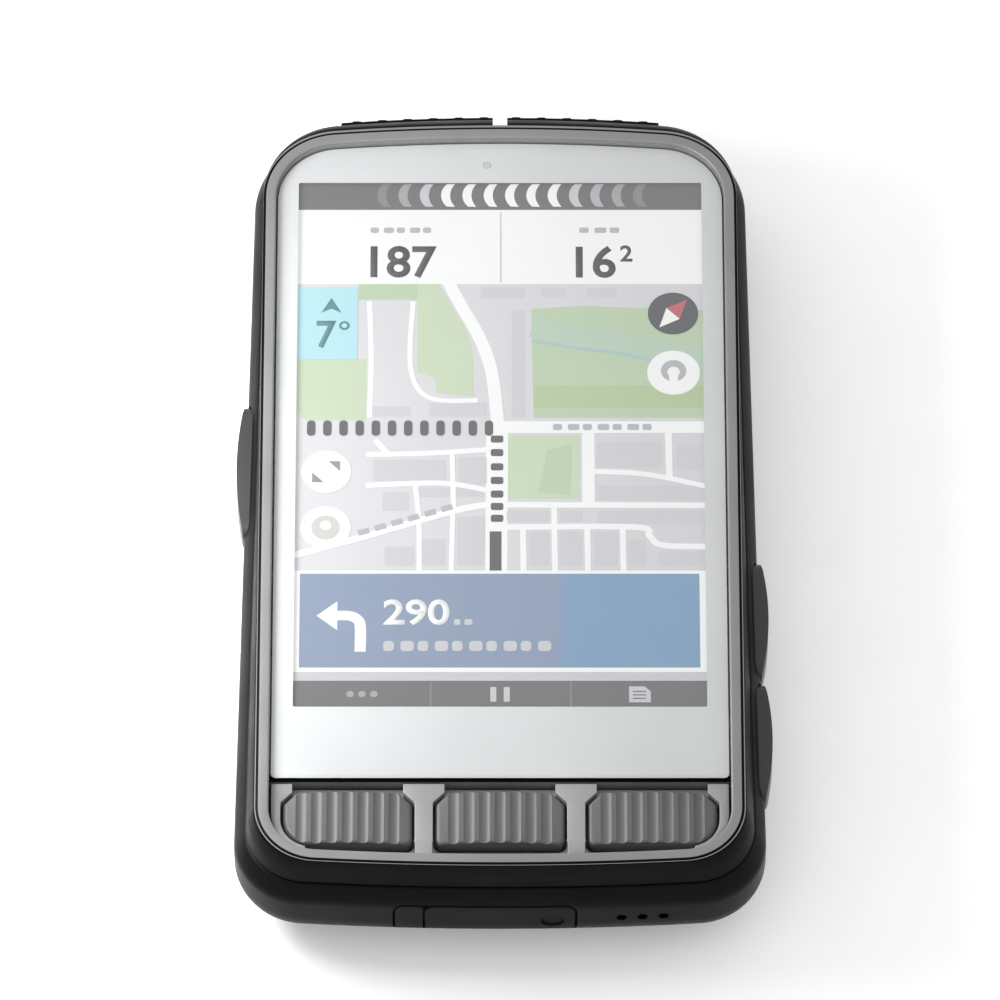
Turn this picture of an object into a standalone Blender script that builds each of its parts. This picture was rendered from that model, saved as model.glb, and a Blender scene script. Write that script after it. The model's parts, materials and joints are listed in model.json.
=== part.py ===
"""Cycling computer: a handlebar head unit with a tall display, three front keys, three side keys,
a wind port in its nose, a rubber-flapped USB socket and a quarter-turn mount insert on its back.

The unit lies on its back: +X to its right, +Y towards its nose, +Z out of the screen. The origin
is the centre of the mount insert's flat end face. Heights called z are measured from that face.
"""

from math import atan2, cos, degrees, hypot, radians, sin, sqrt

import bmesh
import bpy
from mathutils import Vector

MM = 0.001
GAP = 0.3 * MM  # between pieces that touch, and round everything that slides

# Outlines: half width, nose, tail, nose corner radius, tail corner radius
HALF_WIDTH = 35.7 * MM
NOSE_Y = 62.6 * MM
TAIL_Y = -62.7 * MM
BODY = (HALF_WIDTH, NOSE_Y, TAIL_Y, 12.0 * MM, 9.5 * MM)  # at its widest
RIM = (34.3 * MM, 62.2 * MM, -61.3 * MM, 11.5 * MM, 8.6 * MM)  # where the two casings meet
FACE = (32.6 * MM, 58.4 * MM, -60.4 * MM, 10.6 * MM, 8.4 * MM)  # outer edge of the flat front
NOSE_CROWN = 280.0 * MM  # radius of the slightly bowed nose edge
TAIL_CROWN = 420.0 * MM
TAPER = 0.055  # how much narrower the body and the rim are at the nose than at the tail

# Heights through the body
CASE_Z = 3.0 * MM  # underside of the rear case
CASE_EDGE = 6.0 * MM  # radius of the rear case's lower edge
CASE_FLOOR = 2.6 * MM
CASE_WIDE_Z = 12.8 * MM  # where the shoulder starts to lean in
RIM_Z = 15.2 * MM
CASE_WALL = 3.4 * MM
FRAME_Z = RIM_Z + GAP
LIP_Z = 20.2 * MM  # top of the front frame

# Window and glass
GLASS_INSET = 2.05 * MM
GLASS_TAIL_Y = -46.3 * MM
GLASS_TOP = 20.1 * MM
GLASS_THICKNESS = 1.1 * MM
LEDGE_Z = 18.5 * MM  # frame ledge that the glass is bonded to
DISPLAY_HALF = 28.9 * MM
DISPLAY_Y = (-38.0 * MM, 50.8 * MM)
SENSOR_XY = (-1.8 * MM, 52.8 * MM)

# Front keys
KEY_PITCH = 20.3 * MM
KEY_WIDTH = 17.2 * MM
KEY_Y = (-56.3 * MM, -48.1 * MM)
KEY_TOP = 19.0 * MM
KEY_TRAVEL = 0.5 * MM
TRAY_INSET = 2.1 * MM
TRAY_NOSE_Y = -46.9 * MM
TRAY_Z = (16.3 * MM, 18.6 * MM)
TRAY_FLOOR_Z = 17.0 * MM  # the plate that the tray's posts stand on
MEMBRANE_Z = (13.4 * MM, 14.1 * MM)

# Side keys: name, side of the body (-1 left, 1 right), middle along Y, length
SIDE_KEYS = (
    ("power_button", -1, 6.3 * MM, 21.6 * MM),
    ("up_button", 1, -17.5 * MM, 18.6 * MM),
    ("down_button", 1, -36.8 * MM, 18.6 * MM),
)
SIDE_KEY_Z = 11.4 * MM
SIDE_KEY_HEIGHT = 4.6 * MM
SIDE_KEY_PROUD = 1.3 * MM

# Boards, battery and screws
BOARD_Z = (10.0 * MM, 10.8 * MM)
IO_BOARD_Z = (11.45 * MM, 12.25 * MM)
BATTERY_HALF = 24.0 * MM
BATTERY_Y = (-36.0 * MM, 38.0 * MM)
BATTERY_Z = (5.9 * MM, 9.6 * MM)
CASE_SCREW_X = 27.3 * MM
CASE_SCREW_Y = (50.0 * MM, 22.0 * MM, -50.0 * MM)
BOARD_SCREWS = [(x * MM, y * MM) for x in (-22.0, 22.0) for y in (-40.5, 42.5)]
BOSS_JOINT_Z = 10.2 * MM  # where the case bosses meet the frame bosses

# Nose: wind port and its ribbed cover
GRILLE_HALF = 22.0 * MM
GRILLE_Z = (9.7 * MM, 16.7 * MM)
GRILLE_FACE_Y = 62.3 * MM
GRILLE_THICK = 0.7 * MM
GRILLE_RIBS = 6  # on each side of the port
RIB_HEIGHT = 0.4 * MM
PORT_HALF = 1.0 * MM

# Tail: USB socket, flap and speaker holes
FLAP_HALF = 10.0 * MM
FLAP_Z = (6.3 * MM, 12.7 * MM)
FLAP_BACK_Y = -61.1 * MM
ANCHOR_WIDTH = 3.7 * MM
SOCKET_Z = 9.5 * MM
SPEAKER_HOLE_X = [x * MM for x in (16.2, 19.0, 21.8)]
SPEAKER_HOLE_Z = 9.8 * MM

# Quarter-turn insert
INSERT_CORE = 12.5 * MM  # radius
INSERT_TAB = 15.5 * MM  # radius across the two tabs is twice this
INSERT_TAB_THICK = 1.3 * MM
INSERT_FLANGE = 16.7 * MM
INSERT_SCREW_X = 7.5 * MM

# Colour, roughness and metallic value of each finish
FINISHES = {
    "case_black": ((0.018, 0.019, 0.020), 0.55, 0.0),
    "frame_grey": ((0.060, 0.062, 0.064), 0.40, 0.2),
    "key_grey": ((0.10, 0.10, 0.105), 0.60, 0.0),
    "tray_silver": ((0.42, 0.43, 0.44), 0.40, 0.5),
    "rubber_black": ((0.012, 0.012, 0.012), 0.85, 0.0),
    "glass": ((0.70, 0.72, 0.74), 0.08, 0.0),
    "display_dark": ((0.35, 0.38, 0.40), 0.30, 0.0),
    "steel": ((0.55, 0.56, 0.57), 0.30, 1.0),
    "board_green": ((0.010, 0.10, 0.045), 0.50, 0.0),
    "flex_amber": ((0.45, 0.20, 0.03), 0.45, 0.0),
    "battery_silver": ((0.60, 0.61, 0.62), 0.35, 0.7),
    "ceramic_beige": ((0.60, 0.54, 0.42), 0.60, 0.0),
}


# ---------------------------------------------------------------- scene and materials


def clear_scene():
    for item in list(bpy.data.objects):
        bpy.data.objects.remove(item)


def make_collection(name):
    collection = bpy.data.collections.new(name)
    bpy.context.scene.collection.children.link(collection)
    return collection


def make_material(name):
    colour, roughness, metallic = FINISHES[name]
    material = bpy.data.materials.new(name)
    material.use_nodes = True
    shader = material.node_tree.nodes["Principled BSDF"]
    shader.inputs["Base Color"].default_value = (*colour, 1.0)
    shader.inputs["Roughness"].default_value = roughness
    shader.inputs["Metallic"].default_value = metallic
    return material


clear_scene()
PARTS = make_collection("cycling_computer")
CUTTERS = make_collection("cutters")
MATERIALS = {name: make_material(name) for name in FINISHES}


# ---------------------------------------------------------------- outlines


def arc(centre, radius, start, end, steps):
    """Points of an arc, both ends included; angles in degrees."""
    angles = [radians(start + (end - start) * i / steps) for i in range(steps + 1)]
    return [(centre[0] + radius * cos(a), centre[1] + radius * sin(a)) for a in angles]


def circle(radius, centre=(0.0, 0.0), steps=20):
    return arc(centre, radius, 0, 360 - 360 / steps, steps - 1)


def rectangle(x_span, y_span, radii=(0, 0, 0, 0), steps=3):
    """An upright rectangle, counter-clockwise. The corner radii run tail right, nose right,
    nose left, tail left, and one step makes a corner a chamfer."""
    (x0, x1), (y0, y1) = x_span, y_span
    r = radii
    centres = (
        (x1 - r[0], y0 + r[0]),
        (x1 - r[1], y1 - r[1]),
        (x0 + r[2], y1 - r[2]),
        (x0 + r[3], y0 + r[3]),
    )
    points = []
    for i, centre in enumerate(centres):
        start = -90 + 90 * i
        points += arc(centre, r[i], start, start + 90, steps) if r[i] else [centre]
    return points


def crowned_end(inset, half, end_y, corner, crown, corner_steps, crown_steps):
    """One end of the body outline, from its right side to its left: a corner, a bowed edge and
    a corner, all tangent. It is drawn for the nose, so the tail mirrors it."""
    half, corner, crown = half - inset, corner - inset, crown - inset
    top = end_y - inset
    crown_y = top - crown
    corner_x = half - corner
    corner_y = crown_y + sqrt((crown - corner) ** 2 - corner_x**2)
    lean = degrees(atan2(corner_y - crown_y, corner_x))
    right = arc((corner_x, corner_y), corner, 0, lean, corner_steps)
    bow = arc((0, crown_y), crown, lean, 180 - lean, crown_steps)
    left = arc((-corner_x, corner_y), corner, 180 - lean, 180, corner_steps)
    return right + bow[1:-1] + left


def nose_end(shape, inset):
    half, nose_y, _, corner, _ = shape
    return crowned_end(inset, half, nose_y, corner, NOSE_CROWN, 6, 6)


def tail_end(shape, inset):
    half, _, tail_y, _, corner = shape
    drawn = crowned_end(inset, half, -tail_y, corner, TAIL_CROWN, 5, 4)
    return [(-x, -y) for x, y in drawn]


def tapering(y):
    """Share of its tail width that the body keeps at this y."""
    return 1 - TAPER * (y - TAIL_Y) / (NOSE_Y - TAIL_Y)


def body_outline(inset, shape=BODY):
    return [(x * tapering(y), y) for x, y in nose_end(shape, inset) + tail_end(shape, inset)]


def face_outline(inset):
    return nose_end(FACE, inset) + tail_end(FACE, inset)


def between(first, second, share):
    """The outline that lies this share of the way from one outline to another."""
    pairs = zip(first, second)
    return [(a[0] + (b[0] - a[0]) * share, a[1] + (b[1] - a[1]) * share) for a, b in pairs]


def window_outline(inset, tail_y):
    """The face outline cut straight across at tail_y, keeping the nose."""
    side = FACE[0] - inset
    return nose_end(FACE, inset) + [(-side, tail_y), (side, tail_y)]


def tray_outline(inset, nose_y):
    """The face outline cut straight across at nose_y, keeping the tail."""
    side = FACE[0] - inset
    return tail_end(FACE, inset) + [(side, nose_y), (-side, nose_y)]


def nose_band(half, front_y, back_y, steps=8):
    """A band along the bowed nose edge, as wide as twice half."""
    places = [half * (1 - 2 * i / steps) for i in range(steps + 1)]
    front = [(x, front_y - x**2 / (2 * NOSE_CROWN)) for x in places]
    back = [(x, back_y - x**2 / (2 * NOSE_CROWN)) for x in places[::-1]]
    return front + back


def key_outline(index, grow=0.0):
    """Front key 0, 1 or 2: chamfered towards the glass, rounded at the body's tail corners."""
    middle = (index - 1) * KEY_PITCH
    chamfer, small, large = 1.8 * MM + grow * 0.6, 1.0 * MM + grow, 4.0 * MM + grow
    x_span = (middle - KEY_WIDTH / 2 - grow, middle + KEY_WIDTH / 2 + grow)
    y_span = (KEY_Y[0] - grow, KEY_Y[1] + grow)
    tail_right = large if index == 2 else small
    tail_left = large if index == 0 else small
    tail = rectangle(x_span, y_span, (tail_right, 0, 0, tail_left), 3)
    nose = rectangle(x_span, y_span, (0, chamfer, chamfer, 0), 1)
    return tail[:4] + nose[1:5] + tail[-4:]


# ---------------------------------------------------------------- solids


def loft(name, sections, axis="Z"):
    """A closed solid through outlines with equal point counts. Each section is (outline, height),
    and the heights run along the axis."""
    order = {
        "X": lambda u, v, w: (w, u, v),
        "Y": lambda u, v, w: (u, w, v),
        "Z": lambda u, v, w: (u, v, w),
    }
    bm = bmesh.new()
    rings = [[bm.verts.new(order[axis](u, v, w)) for u, v in outline] for outline, w in sections]
    count = len(rings[0])
    for low, high in zip(rings, rings[1:]):
        for i in range(count):
            j = (i + 1) % count
            bm.faces.new((low[i], low[j], high[j], high[i]))
    bm.faces.new(rings[0][::-1])
    bm.faces.new(rings[-1])
    bmesh.ops.recalc_face_normals(bm, faces=bm.faces)
    mesh = bpy.data.meshes.new(name)
    bm.to_mesh(mesh)
    bm.free()
    return bpy.data.objects.new(name, mesh)


def prism(name, outline, span, axis="Z"):
    return loft(name, [(outline, span[0]), (outline, span[1])], axis)


def box(name, x_span, y_span, z_span):
    return prism(name, rectangle(x_span, y_span), z_span)


def body_loft(name, profile):
    """A solid whose sections are the body outline at each (inset, height)."""
    return loft(name, [(body_outline(inset), z) for inset, z in profile])


def centred(middle, size):
    return (middle - size / 2, middle + size / 2)


def finish(part, material, origin=(0.0, 0.0, 0.0)):
    """Puts a part in the model, with its origin on the point it turns or slides about."""
    origin = Vector(origin)
    part.data.transform(part.matrix_basis)
    for vertex in part.data.vertices:
        vertex.co -= origin
    part.matrix_basis.identity()
    part.location = origin
    part.data.materials.append(MATERIALS[material])
    part.data.shade_smooth()
    part.data.set_sharp_from_angle(angle=radians(30))
    PARTS.objects.link(part)
    return part


def boolean(part, other, operation):
    if other.name not in CUTTERS.objects:
        CUTTERS.objects.link(other)
        other.hide_render = True
        other.display_type = "WIRE"
    modifier = part.modifiers.new(other.name, "BOOLEAN")
    modifier.operation = operation
    modifier.solver = "EXACT"
    modifier.object = other


def cut(part, *cutters):
    for cutter in cutters:
        boolean(part, cutter, "DIFFERENCE")


def join(part, *others):
    for other in others:
        boolean(part, other, "UNION")


def keep(part, region):
    boolean(part, region, "INTERSECT")


def soften(part, width, segments=2):
    modifier = part.modifiers.new("edges", "BEVEL")
    modifier.width = width
    modifier.segments = segments
    modifier.limit_method = "ANGLE"
    modifier.angle_limit = radians(40)


def ring(name, outer, inner, span):
    """A flat ring between two outlines with equal point counts."""
    part = prism(name, outer, span)
    hole = prism(name + "_hole", inner, (span[0] - MM, span[1] + MM))
    cut(part, hole)
    return part


# ---------------------------------------------------------------- casings


def case_blank(name):
    """The outside of the rear case: rounded lower edge, wall and shoulder."""
    steps = 4
    sections = []
    for i in range(steps + 1):
        angle = radians(90 * i / steps)
        inset = CASE_EDGE * (1 - sin(angle))
        sections.append((body_outline(inset), CASE_Z + CASE_EDGE * (1 - cos(angle))))
    sections.append((body_outline(0.0), CASE_WIDE_Z))
    sections.append((body_outline(0.0, RIM), RIM_Z))
    return loft(name, sections)


def wall_at(y):
    """Half width of the body's outside at this y."""
    return HALF_WIDTH * tapering(y)


def side_key_hole(name, side, middle_y, length):
    height = SIDE_KEY_HEIGHT + 2 * GAP
    radius = height / 2
    y_span = centred(middle_y, length + 2 * GAP)
    outline = rectangle(y_span, centred(SIDE_KEY_Z, height), (radius * 0.98,) * 4, 4)
    span = sorted((side * 31.0 * MM, side * 38.0 * MM))
    return prism(name + "_hole", outline, span, "X")


def case_screw_places():
    return [(side * CASE_SCREW_X, y) for y in CASE_SCREW_Y for side in (-1, 1)]


def grille_pocket(name, z_span):
    back = GRILLE_FACE_Y - GRILLE_THICK - 0.25 * MM
    return prism(name, nose_band(GRILLE_HALF + GAP, back + 5 * MM, back), z_span)


def make_rear_case():
    case = case_blank("rear_case")
    floor_z = CASE_Z + CASE_FLOOR
    cavity = [
        (8.2 * MM, floor_z),
        (5.6 * MM, floor_z + 0.8 * MM),
        (CASE_WALL, 8.0 * MM),
        (CASE_WALL, RIM_Z + MM),
    ]
    cut(case, body_loft("case_cavity", cavity))
    cut(case, prism("rim_step", body_outline(1.4 * MM, RIM), (14.7 * MM, RIM_Z + MM)))

    for i, place in enumerate(case_screw_places()):
        boss = prism(f"case_boss_{i}", circle(2.8 * MM, place), (4.5 * MM, BOSS_JOINT_Z))
        join(case, boss)
        hole = loft(
            f"case_screw_hole_{i}",
            [
                (circle(2.15 * MM, place), 2.0 * MM),
                (circle(2.15 * MM, place), 6.0 * MM),
                (circle(1.1 * MM, place), 6.0 * MM),
                (circle(1.1 * MM, place), 11.0 * MM),
            ],
        )
        cut(case, hole)
    for i, place in enumerate(BOARD_SCREWS):
        join(case, prism(f"board_post_{i}", circle(2.4 * MM, place, 16), (4.5 * MM, 9.7 * MM)))
        cut(case, prism(f"board_post_hole_{i}", circle(1.1 * MM, place, 12), (6.2 * MM, 11 * MM)))

    cut(case, prism("insert_recess", circle(17.0 * MM, steps=48), (2.0 * MM, 4.0 * MM)))
    for side in (-1, 1):
        place = (side * INSERT_SCREW_X, 0.0)
        cut(case, prism(f"insert_thread_{side}", circle(1.1 * MM, place, 12), (3.5 * MM, 5.3 * MM)))

    recess_x = (-FLAP_HALF - ANCHOR_WIDTH - 2 * GAP, FLAP_HALF + GAP)
    recess_z = (FLAP_Z[0] - GAP, FLAP_Z[1] + GAP)
    recess = rectangle(recess_x, recess_z, (1.6 * MM,) * 4)
    cut(case, prism("flap_recess", recess, (-64 * MM, FLAP_BACK_Y + GAP), "Y"))
    mouth = rectangle(centred(0, 13.6 * MM), centred(SOCKET_Z, 5.9 * MM), (2.0 * MM,) * 4)
    cut(case, prism("socket_mouth", mouth, (-62 * MM, -57 * MM), "Y"))
    for i, x in enumerate(SPEAKER_HOLE_X):
        hole = circle(0.7 * MM, (x, SPEAKER_HOLE_Z), 12)
        cut(case, prism(f"speaker_hole_{i}", hole, (-64 * MM, -57 * MM), "Y"))

    for key in SIDE_KEYS:
        cut(case, side_key_hole(*key))

    cut(case, grille_pocket("case_grille_pocket", (GRILLE_Z[0] - GAP, RIM_Z + MM)))
    port_x = centred(0, 2 * PORT_HALF)
    cut(case, box("wind_port", port_x, (57 * MM, 62 * MM), (10.6 * MM, 12.6 * MM)))
    return finish(case, "case_black")


def make_front_frame():
    foot, lip = body_outline(0.2 * MM, RIM), face_outline(0.0)
    leans = ((0.0, FRAME_Z), (0.08, 16.6 * MM), (0.5, 19.0 * MM), (0.8, 19.9 * MM), (1.0, LIP_Z))
    frame = loft("front_frame", [(between(foot, lip, share), z) for share, z in leans])
    skirt_outer = [(3.95 * MM, 12.9 * MM), (3.95 * MM, 15.9 * MM)]
    join(frame, body_loft("frame_skirt", skirt_outer))
    skirt_inner = [(4.85 * MM, 12.0 * MM), (4.85 * MM, FRAME_Z)]
    cut(frame, body_loft("skirt_inside", skirt_inner))

    for i, place in enumerate(case_screw_places()):
        x, y = place
        toward_wall = sorted((x, x / CASE_SCREW_X * (wall_at(y) - 4.2 * MM)))
        boss_z = (BOSS_JOINT_Z + GAP, 14.0 * MM)
        join(frame, prism(f"frame_boss_{i}", circle(2.6 * MM, place), boss_z))
        join(frame, box(f"boss_rib_{i}", toward_wall, centred(y, 2.4 * MM), (12.95 * MM, 13.9 * MM)))
        cut(frame, prism(f"boss_hole_{i}", circle(0.95 * MM, place, 12), (9.0 * MM, 13.5 * MM)))

    pocket = window_outline(GLASS_INSET - 0.25 * MM, GLASS_TAIL_Y - GAP)
    cut(frame, prism("glass_pocket", pocket, (LEDGE_Z, 21.0 * MM)))
    window_x = centred(0, 2 * DISPLAY_HALF + 2 * GAP)
    window_y = (DISPLAY_Y[0] - GAP, DISPLAY_Y[1] + GAP)
    cut(frame, box("display_window", window_x, window_y, (14.8 * MM, 19.5 * MM)))
    well = tray_outline(TRAY_INSET - GAP, TRAY_NOSE_Y + GAP)
    cut(frame, prism("key_well", well, (TRAY_Z[0] - 0.2 * MM, 22.0 * MM)))
    below = tray_outline(TRAY_INSET + 0.2 * MM, TRAY_NOSE_Y + GAP)
    cut(frame, prism("key_well_below", below, (14.8 * MM, TRAY_Z[0])))
    sensor_x, sensor_y = centred(SENSOR_XY[0], 3.4 * MM), centred(SENSOR_XY[1], 2.4 * MM)
    cut(frame, box("light_sensor_well", sensor_x, sensor_y, (16.2 * MM, 19.2 * MM)))
    for name, side, middle_y, length in SIDE_KEYS:
        wall = wall_at(middle_y)
        x_span = sorted((side * (wall - 6.0 * MM), side * (wall - 2.5 * MM)))
        y_span = centred(middle_y, length + 3.0 * MM)
        cut(frame, box(f"{name}_skirt_gap", x_span, y_span, (12.0 * MM, FRAME_Z - 0.05 * MM)))
    cut(frame, grille_pocket("frame_grille_pocket", (FRAME_Z - MM, GRILLE_Z[1] + GAP)))
    port_x = centred(0, 2 * PORT_HALF)
    cut(frame, box("port_notch", port_x, (FACE[1] + 0.3 * MM, 66 * MM), (16.0 * MM, 22 * MM)))
    sensor_gap = (12.0 * MM, FRAME_Z - 0.05 * MM)
    cut(frame, box("wind_sensor_gap", centred(0, 8.0 * MM), (56 * MM, 59.6 * MM), sensor_gap))
    return finish(frame, "frame_grey")


def make_case_seal():
    outer, inner = body_outline(1.55 * MM, RIM), body_outline(2.05 * MM, RIM)
    return finish(ring("case_seal", outer, inner, (14.85 * MM, 15.35 * MM)), "rubber_black")


# ---------------------------------------------------------------- glass and display


def make_glass():
    outline = window_outline(GLASS_INSET, GLASS_TAIL_Y)
    glass = prism("cover_glass", outline, (GLASS_TOP - GLASS_THICKNESS, GLASS_TOP))
    finish(glass, "glass")
    bond_outer = window_outline(GLASS_INSET + 0.15 * MM, GLASS_TAIL_Y + GAP)
    bond_inner = window_outline(GLASS_INSET + 1.1 * MM, GLASS_TAIL_Y + 1.5 * MM)
    bond = ring("glass_bond", bond_outer, bond_inner, (LEDGE_Z + 0.15 * MM, 18.85 * MM))
    finish(bond, "rubber_black")


def make_display():
    x_span = centred(0, 2 * DISPLAY_HALF)
    panel = box("display_panel", x_span, DISPLAY_Y, (17.5 * MM, 18.4 * MM))
    finish(panel, "display_dark")
    backlight = box("display_backlight", x_span, DISPLAY_Y, (15.9 * MM, 17.2 * MM))
    soften(backlight, 0.3 * MM, 1)
    finish(backlight, "steel")

    # The ribbon leaves the backlight's underside and folds down onto the main board.
    thickness = 0.15 * MM
    route = [(-30.0, 15.6), (-35.5, 15.4), (-37.0, 14.4), (-37.2, 12.6), (-36.0, 11.4), (-32.0, 11.2)]
    upper = [(y * MM, z * MM) for y, z in route]
    lower = []
    for i, (y, z) in enumerate(upper):
        before, after = upper[max(i - 1, 0)], upper[min(i + 1, len(upper) - 1)]
        run = (after[0] - before[0], after[1] - before[1])
        length = hypot(*run)
        lower.append((y - thickness * run[1] / length, z + thickness * run[0] / length))
    ribbon = prism("display_ribbon", upper + lower[::-1], centred(4.0 * MM, 16.0 * MM), "X")
    finish(ribbon, "flex_amber")

    x_span, y_span = centred(SENSOR_XY[0], 2.6 * MM), centred(SENSOR_XY[1], 1.7 * MM)
    sensor = box("light_sensor", x_span, y_span, (16.6 * MM, 18.3 * MM))
    finish(sensor, "display_dark")


# ---------------------------------------------------------------- front keys


def make_front_keys():
    tray = prism("button_surround", tray_outline(TRAY_INSET, TRAY_NOSE_Y), TRAY_Z)
    for i in range(3):
        hole = prism(f"key_hole_{i}", key_outline(i, 0.35 * MM), (15.0 * MM, 20.0 * MM))
        cut(tray, hole)
    for i in range(3):
        left, right = centred((i - 1) * KEY_PITCH, KEY_WIDTH)
        upper = (TRAY_FLOOR_Z, 20.0 * MM)
        nose_strip = (KEY_Y[1] - 0.5 * MM, TRAY_NOSE_Y + MM)
        cut(tray, box(f"nose_strip_{i}", (left + 1.2 * MM, right - 1.2 * MM), nose_strip, upper))
        tail_x = (left + (3.0 if i == 0 else -0.4) * MM, right - (3.0 if i == 2 else -0.4) * MM)
        cut(tray, box(f"tail_strip_{i}", tail_x, (-61 * MM, KEY_Y[0] + 0.5 * MM), upper))
    finish(tray, "tray_silver")

    for i, name in enumerate(("left", "centre", "right")):
        middle = ((i - 1) * KEY_PITCH, sum(KEY_Y) / 2)
        key = loft(
            f"front_button_{name}",
            [
                (key_outline(i, 0.6 * MM), 15.1 * MM),
                (key_outline(i, 0.6 * MM), TRAY_Z[0] - GAP),
                (key_outline(i), TRAY_Z[0] - GAP),
                (key_outline(i), KEY_TOP - 0.5 * MM),
                (key_outline(i, -0.5 * MM), KEY_TOP),
            ],
        )
        join(key, prism(f"key_nub_{i}", circle(1.5 * MM, middle, 12), (14.7 * MM, 15.5 * MM)))
        finish(key, "key_grey", (*middle, KEY_TOP))

        x_span, y_span = (centred(place, 4.6 * MM) for place in middle)
        switch = box(f"keypad_switch_{name}", x_span, y_span, (12.4 * MM, 12.95 * MM))
        join(switch, prism(f"keypad_dome_{i}", circle(1.2 * MM, middle, 12), (12.6 * MM, 13.25 * MM)))
        finish(switch, "steel")

    membrane = box("keypad_membrane", centred(0, 47.6 * MM), (-57.0 * MM, -46.6 * MM), MEMBRANE_Z)
    finish(membrane, "rubber_black")
    board = box("io_board", centred(0, 47.6 * MM), (-57.0 * MM, -46.4 * MM), IO_BOARD_Z)
    finish(board, "board_green")


# ---------------------------------------------------------------- side keys


def make_side_key(name, side, middle_y, length):
    """A lens-shaped cap on a flange behind the wall, with a nub that reaches for its switch."""
    radius = SIDE_KEY_HEIGHT / 2
    wall = wall_at(middle_y)

    def reach(near, far):
        """Span along X between two depths behind the wall's outside."""
        return sorted((side * (wall - near), side * (wall - far)))

    y_span, z_span = centred(middle_y, length), centred(SIDE_KEY_Z, SIDE_KEY_HEIGHT)
    cap = rectangle(y_span, z_span, (radius * 0.98,) * 4, 4)
    key = prism(name, cap, reach(4.1 * MM, -3.0 * MM), "X")

    # The lens: a plan outline that bulges out of the wall, least at the cap's ends.
    steps = 10
    low, bulge = 0.25 * MM, SIDE_KEY_PROUD - 0.25 * MM
    inner = side * (wall - 6.0 * MM)
    lens = [(inner, y_span[0] - MM), (inner, y_span[1] + MM)]
    for i in range(steps + 1):
        along = 1 - 2 * i / steps
        x = wall + low + bulge * (1 - along**2)
        lens.append((side * x, middle_y + along * (length / 2 + 0.01 * MM)))
    keep(key, prism(name + "_lens", lens, (8 * MM, 15 * MM)))

    flange_y, flange_z = centred(middle_y, length + 0.2 * MM), centred(SIDE_KEY_Z, 5.8 * MM)
    flange = rectangle(flange_y, flange_z, (1.5 * MM,) * 4)
    join(key, prism(name + "_flange", flange, reach(4.9 * MM, 4.0 * MM), "X"))
    nub = circle(1.2 * MM, (middle_y, SIDE_KEY_Z), 12)
    join(key, prism(name + "_nub", nub, reach(5.7 * MM, 4.8 * MM), "X"))
    finish(key, "rubber_black", (side * wall, middle_y, SIDE_KEY_Z))

    stem = name.split("_")[0]
    y_near = centred(middle_y, 5.0 * MM)
    boot = box(f"{stem}_boot", reach(6.8 * MM, 6.3 * MM), y_near, (9.3 * MM, 13.5 * MM))
    finish(boot, "rubber_black")
    switch = box(f"{stem}_switch", reach(10.1 * MM, 7.1 * MM), y_near, (11.0 * MM, 13.0 * MM))
    finish(switch, "steel")


# ---------------------------------------------------------------- nose and tail fittings


def make_wind_fittings():
    """The ribbed cover over the wind port, the sensor behind the wall and its gasket."""
    outline = nose_band(GRILLE_HALF, GRILLE_FACE_Y, GRILLE_FACE_Y - GRILLE_THICK)
    grille = prism("wind_port_cover", outline, GRILLE_Z)
    pitch = (GRILLE_HALF - 2.6 * MM) / (GRILLE_RIBS - 0.5)
    for side in (-1, 1):
        for i in range(GRILLE_RIBS):
            x = side * (2.2 * MM + pitch * i)
            front = GRILLE_FACE_Y - x**2 / (2 * NOSE_CROWN) + RIB_HEIGHT
            rib = rectangle(centred(x, 1.6 * MM), (front - 0.8 * MM, front), (0.35 * MM,) * 4, 1)
            z_span = (GRILLE_Z[0] + 0.2 * MM, GRILLE_Z[1] - 0.2 * MM)
            join(grille, prism(f"grille_rib_{side}_{i}", rib, z_span))
    slot = box("grille_slot", centred(0, 2 * PORT_HALF), (60 * MM, 66 * MM), (10.6 * MM, 19 * MM))
    cut(grille, slot)
    finish(grille, "case_black")

    sensor = box("wind_sensor", centred(0, 12.0 * MM), (49.0 * MM, 55.7 * MM), (9.2 * MM, 13.6 * MM))
    nozzle = circle(1.6 * MM, (0, 11.6 * MM), 16)
    join(sensor, prism("wind_nozzle", nozzle, (55.0 * MM, 58.7 * MM), "Y"))
    bore = circle(0.8 * MM, (0, 11.6 * MM), 12)
    cut(sensor, prism("wind_nozzle_bore", bore, (53.0 * MM, 60 * MM), "Y"))
    finish(sensor, "display_dark")
    gasket_outline = circle(2.9 * MM, (0, 11.6 * MM), 20)
    gasket = prism("wind_sensor_gasket", gasket_outline, (56.6 * MM, 58.8 * MM), "Y")
    cut(gasket, prism("gasket_bore", circle(1.8 * MM, (0, 11.6 * MM), 16), (55 * MM, 60 * MM), "Y"))
    finish(gasket, "rubber_black")


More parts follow.
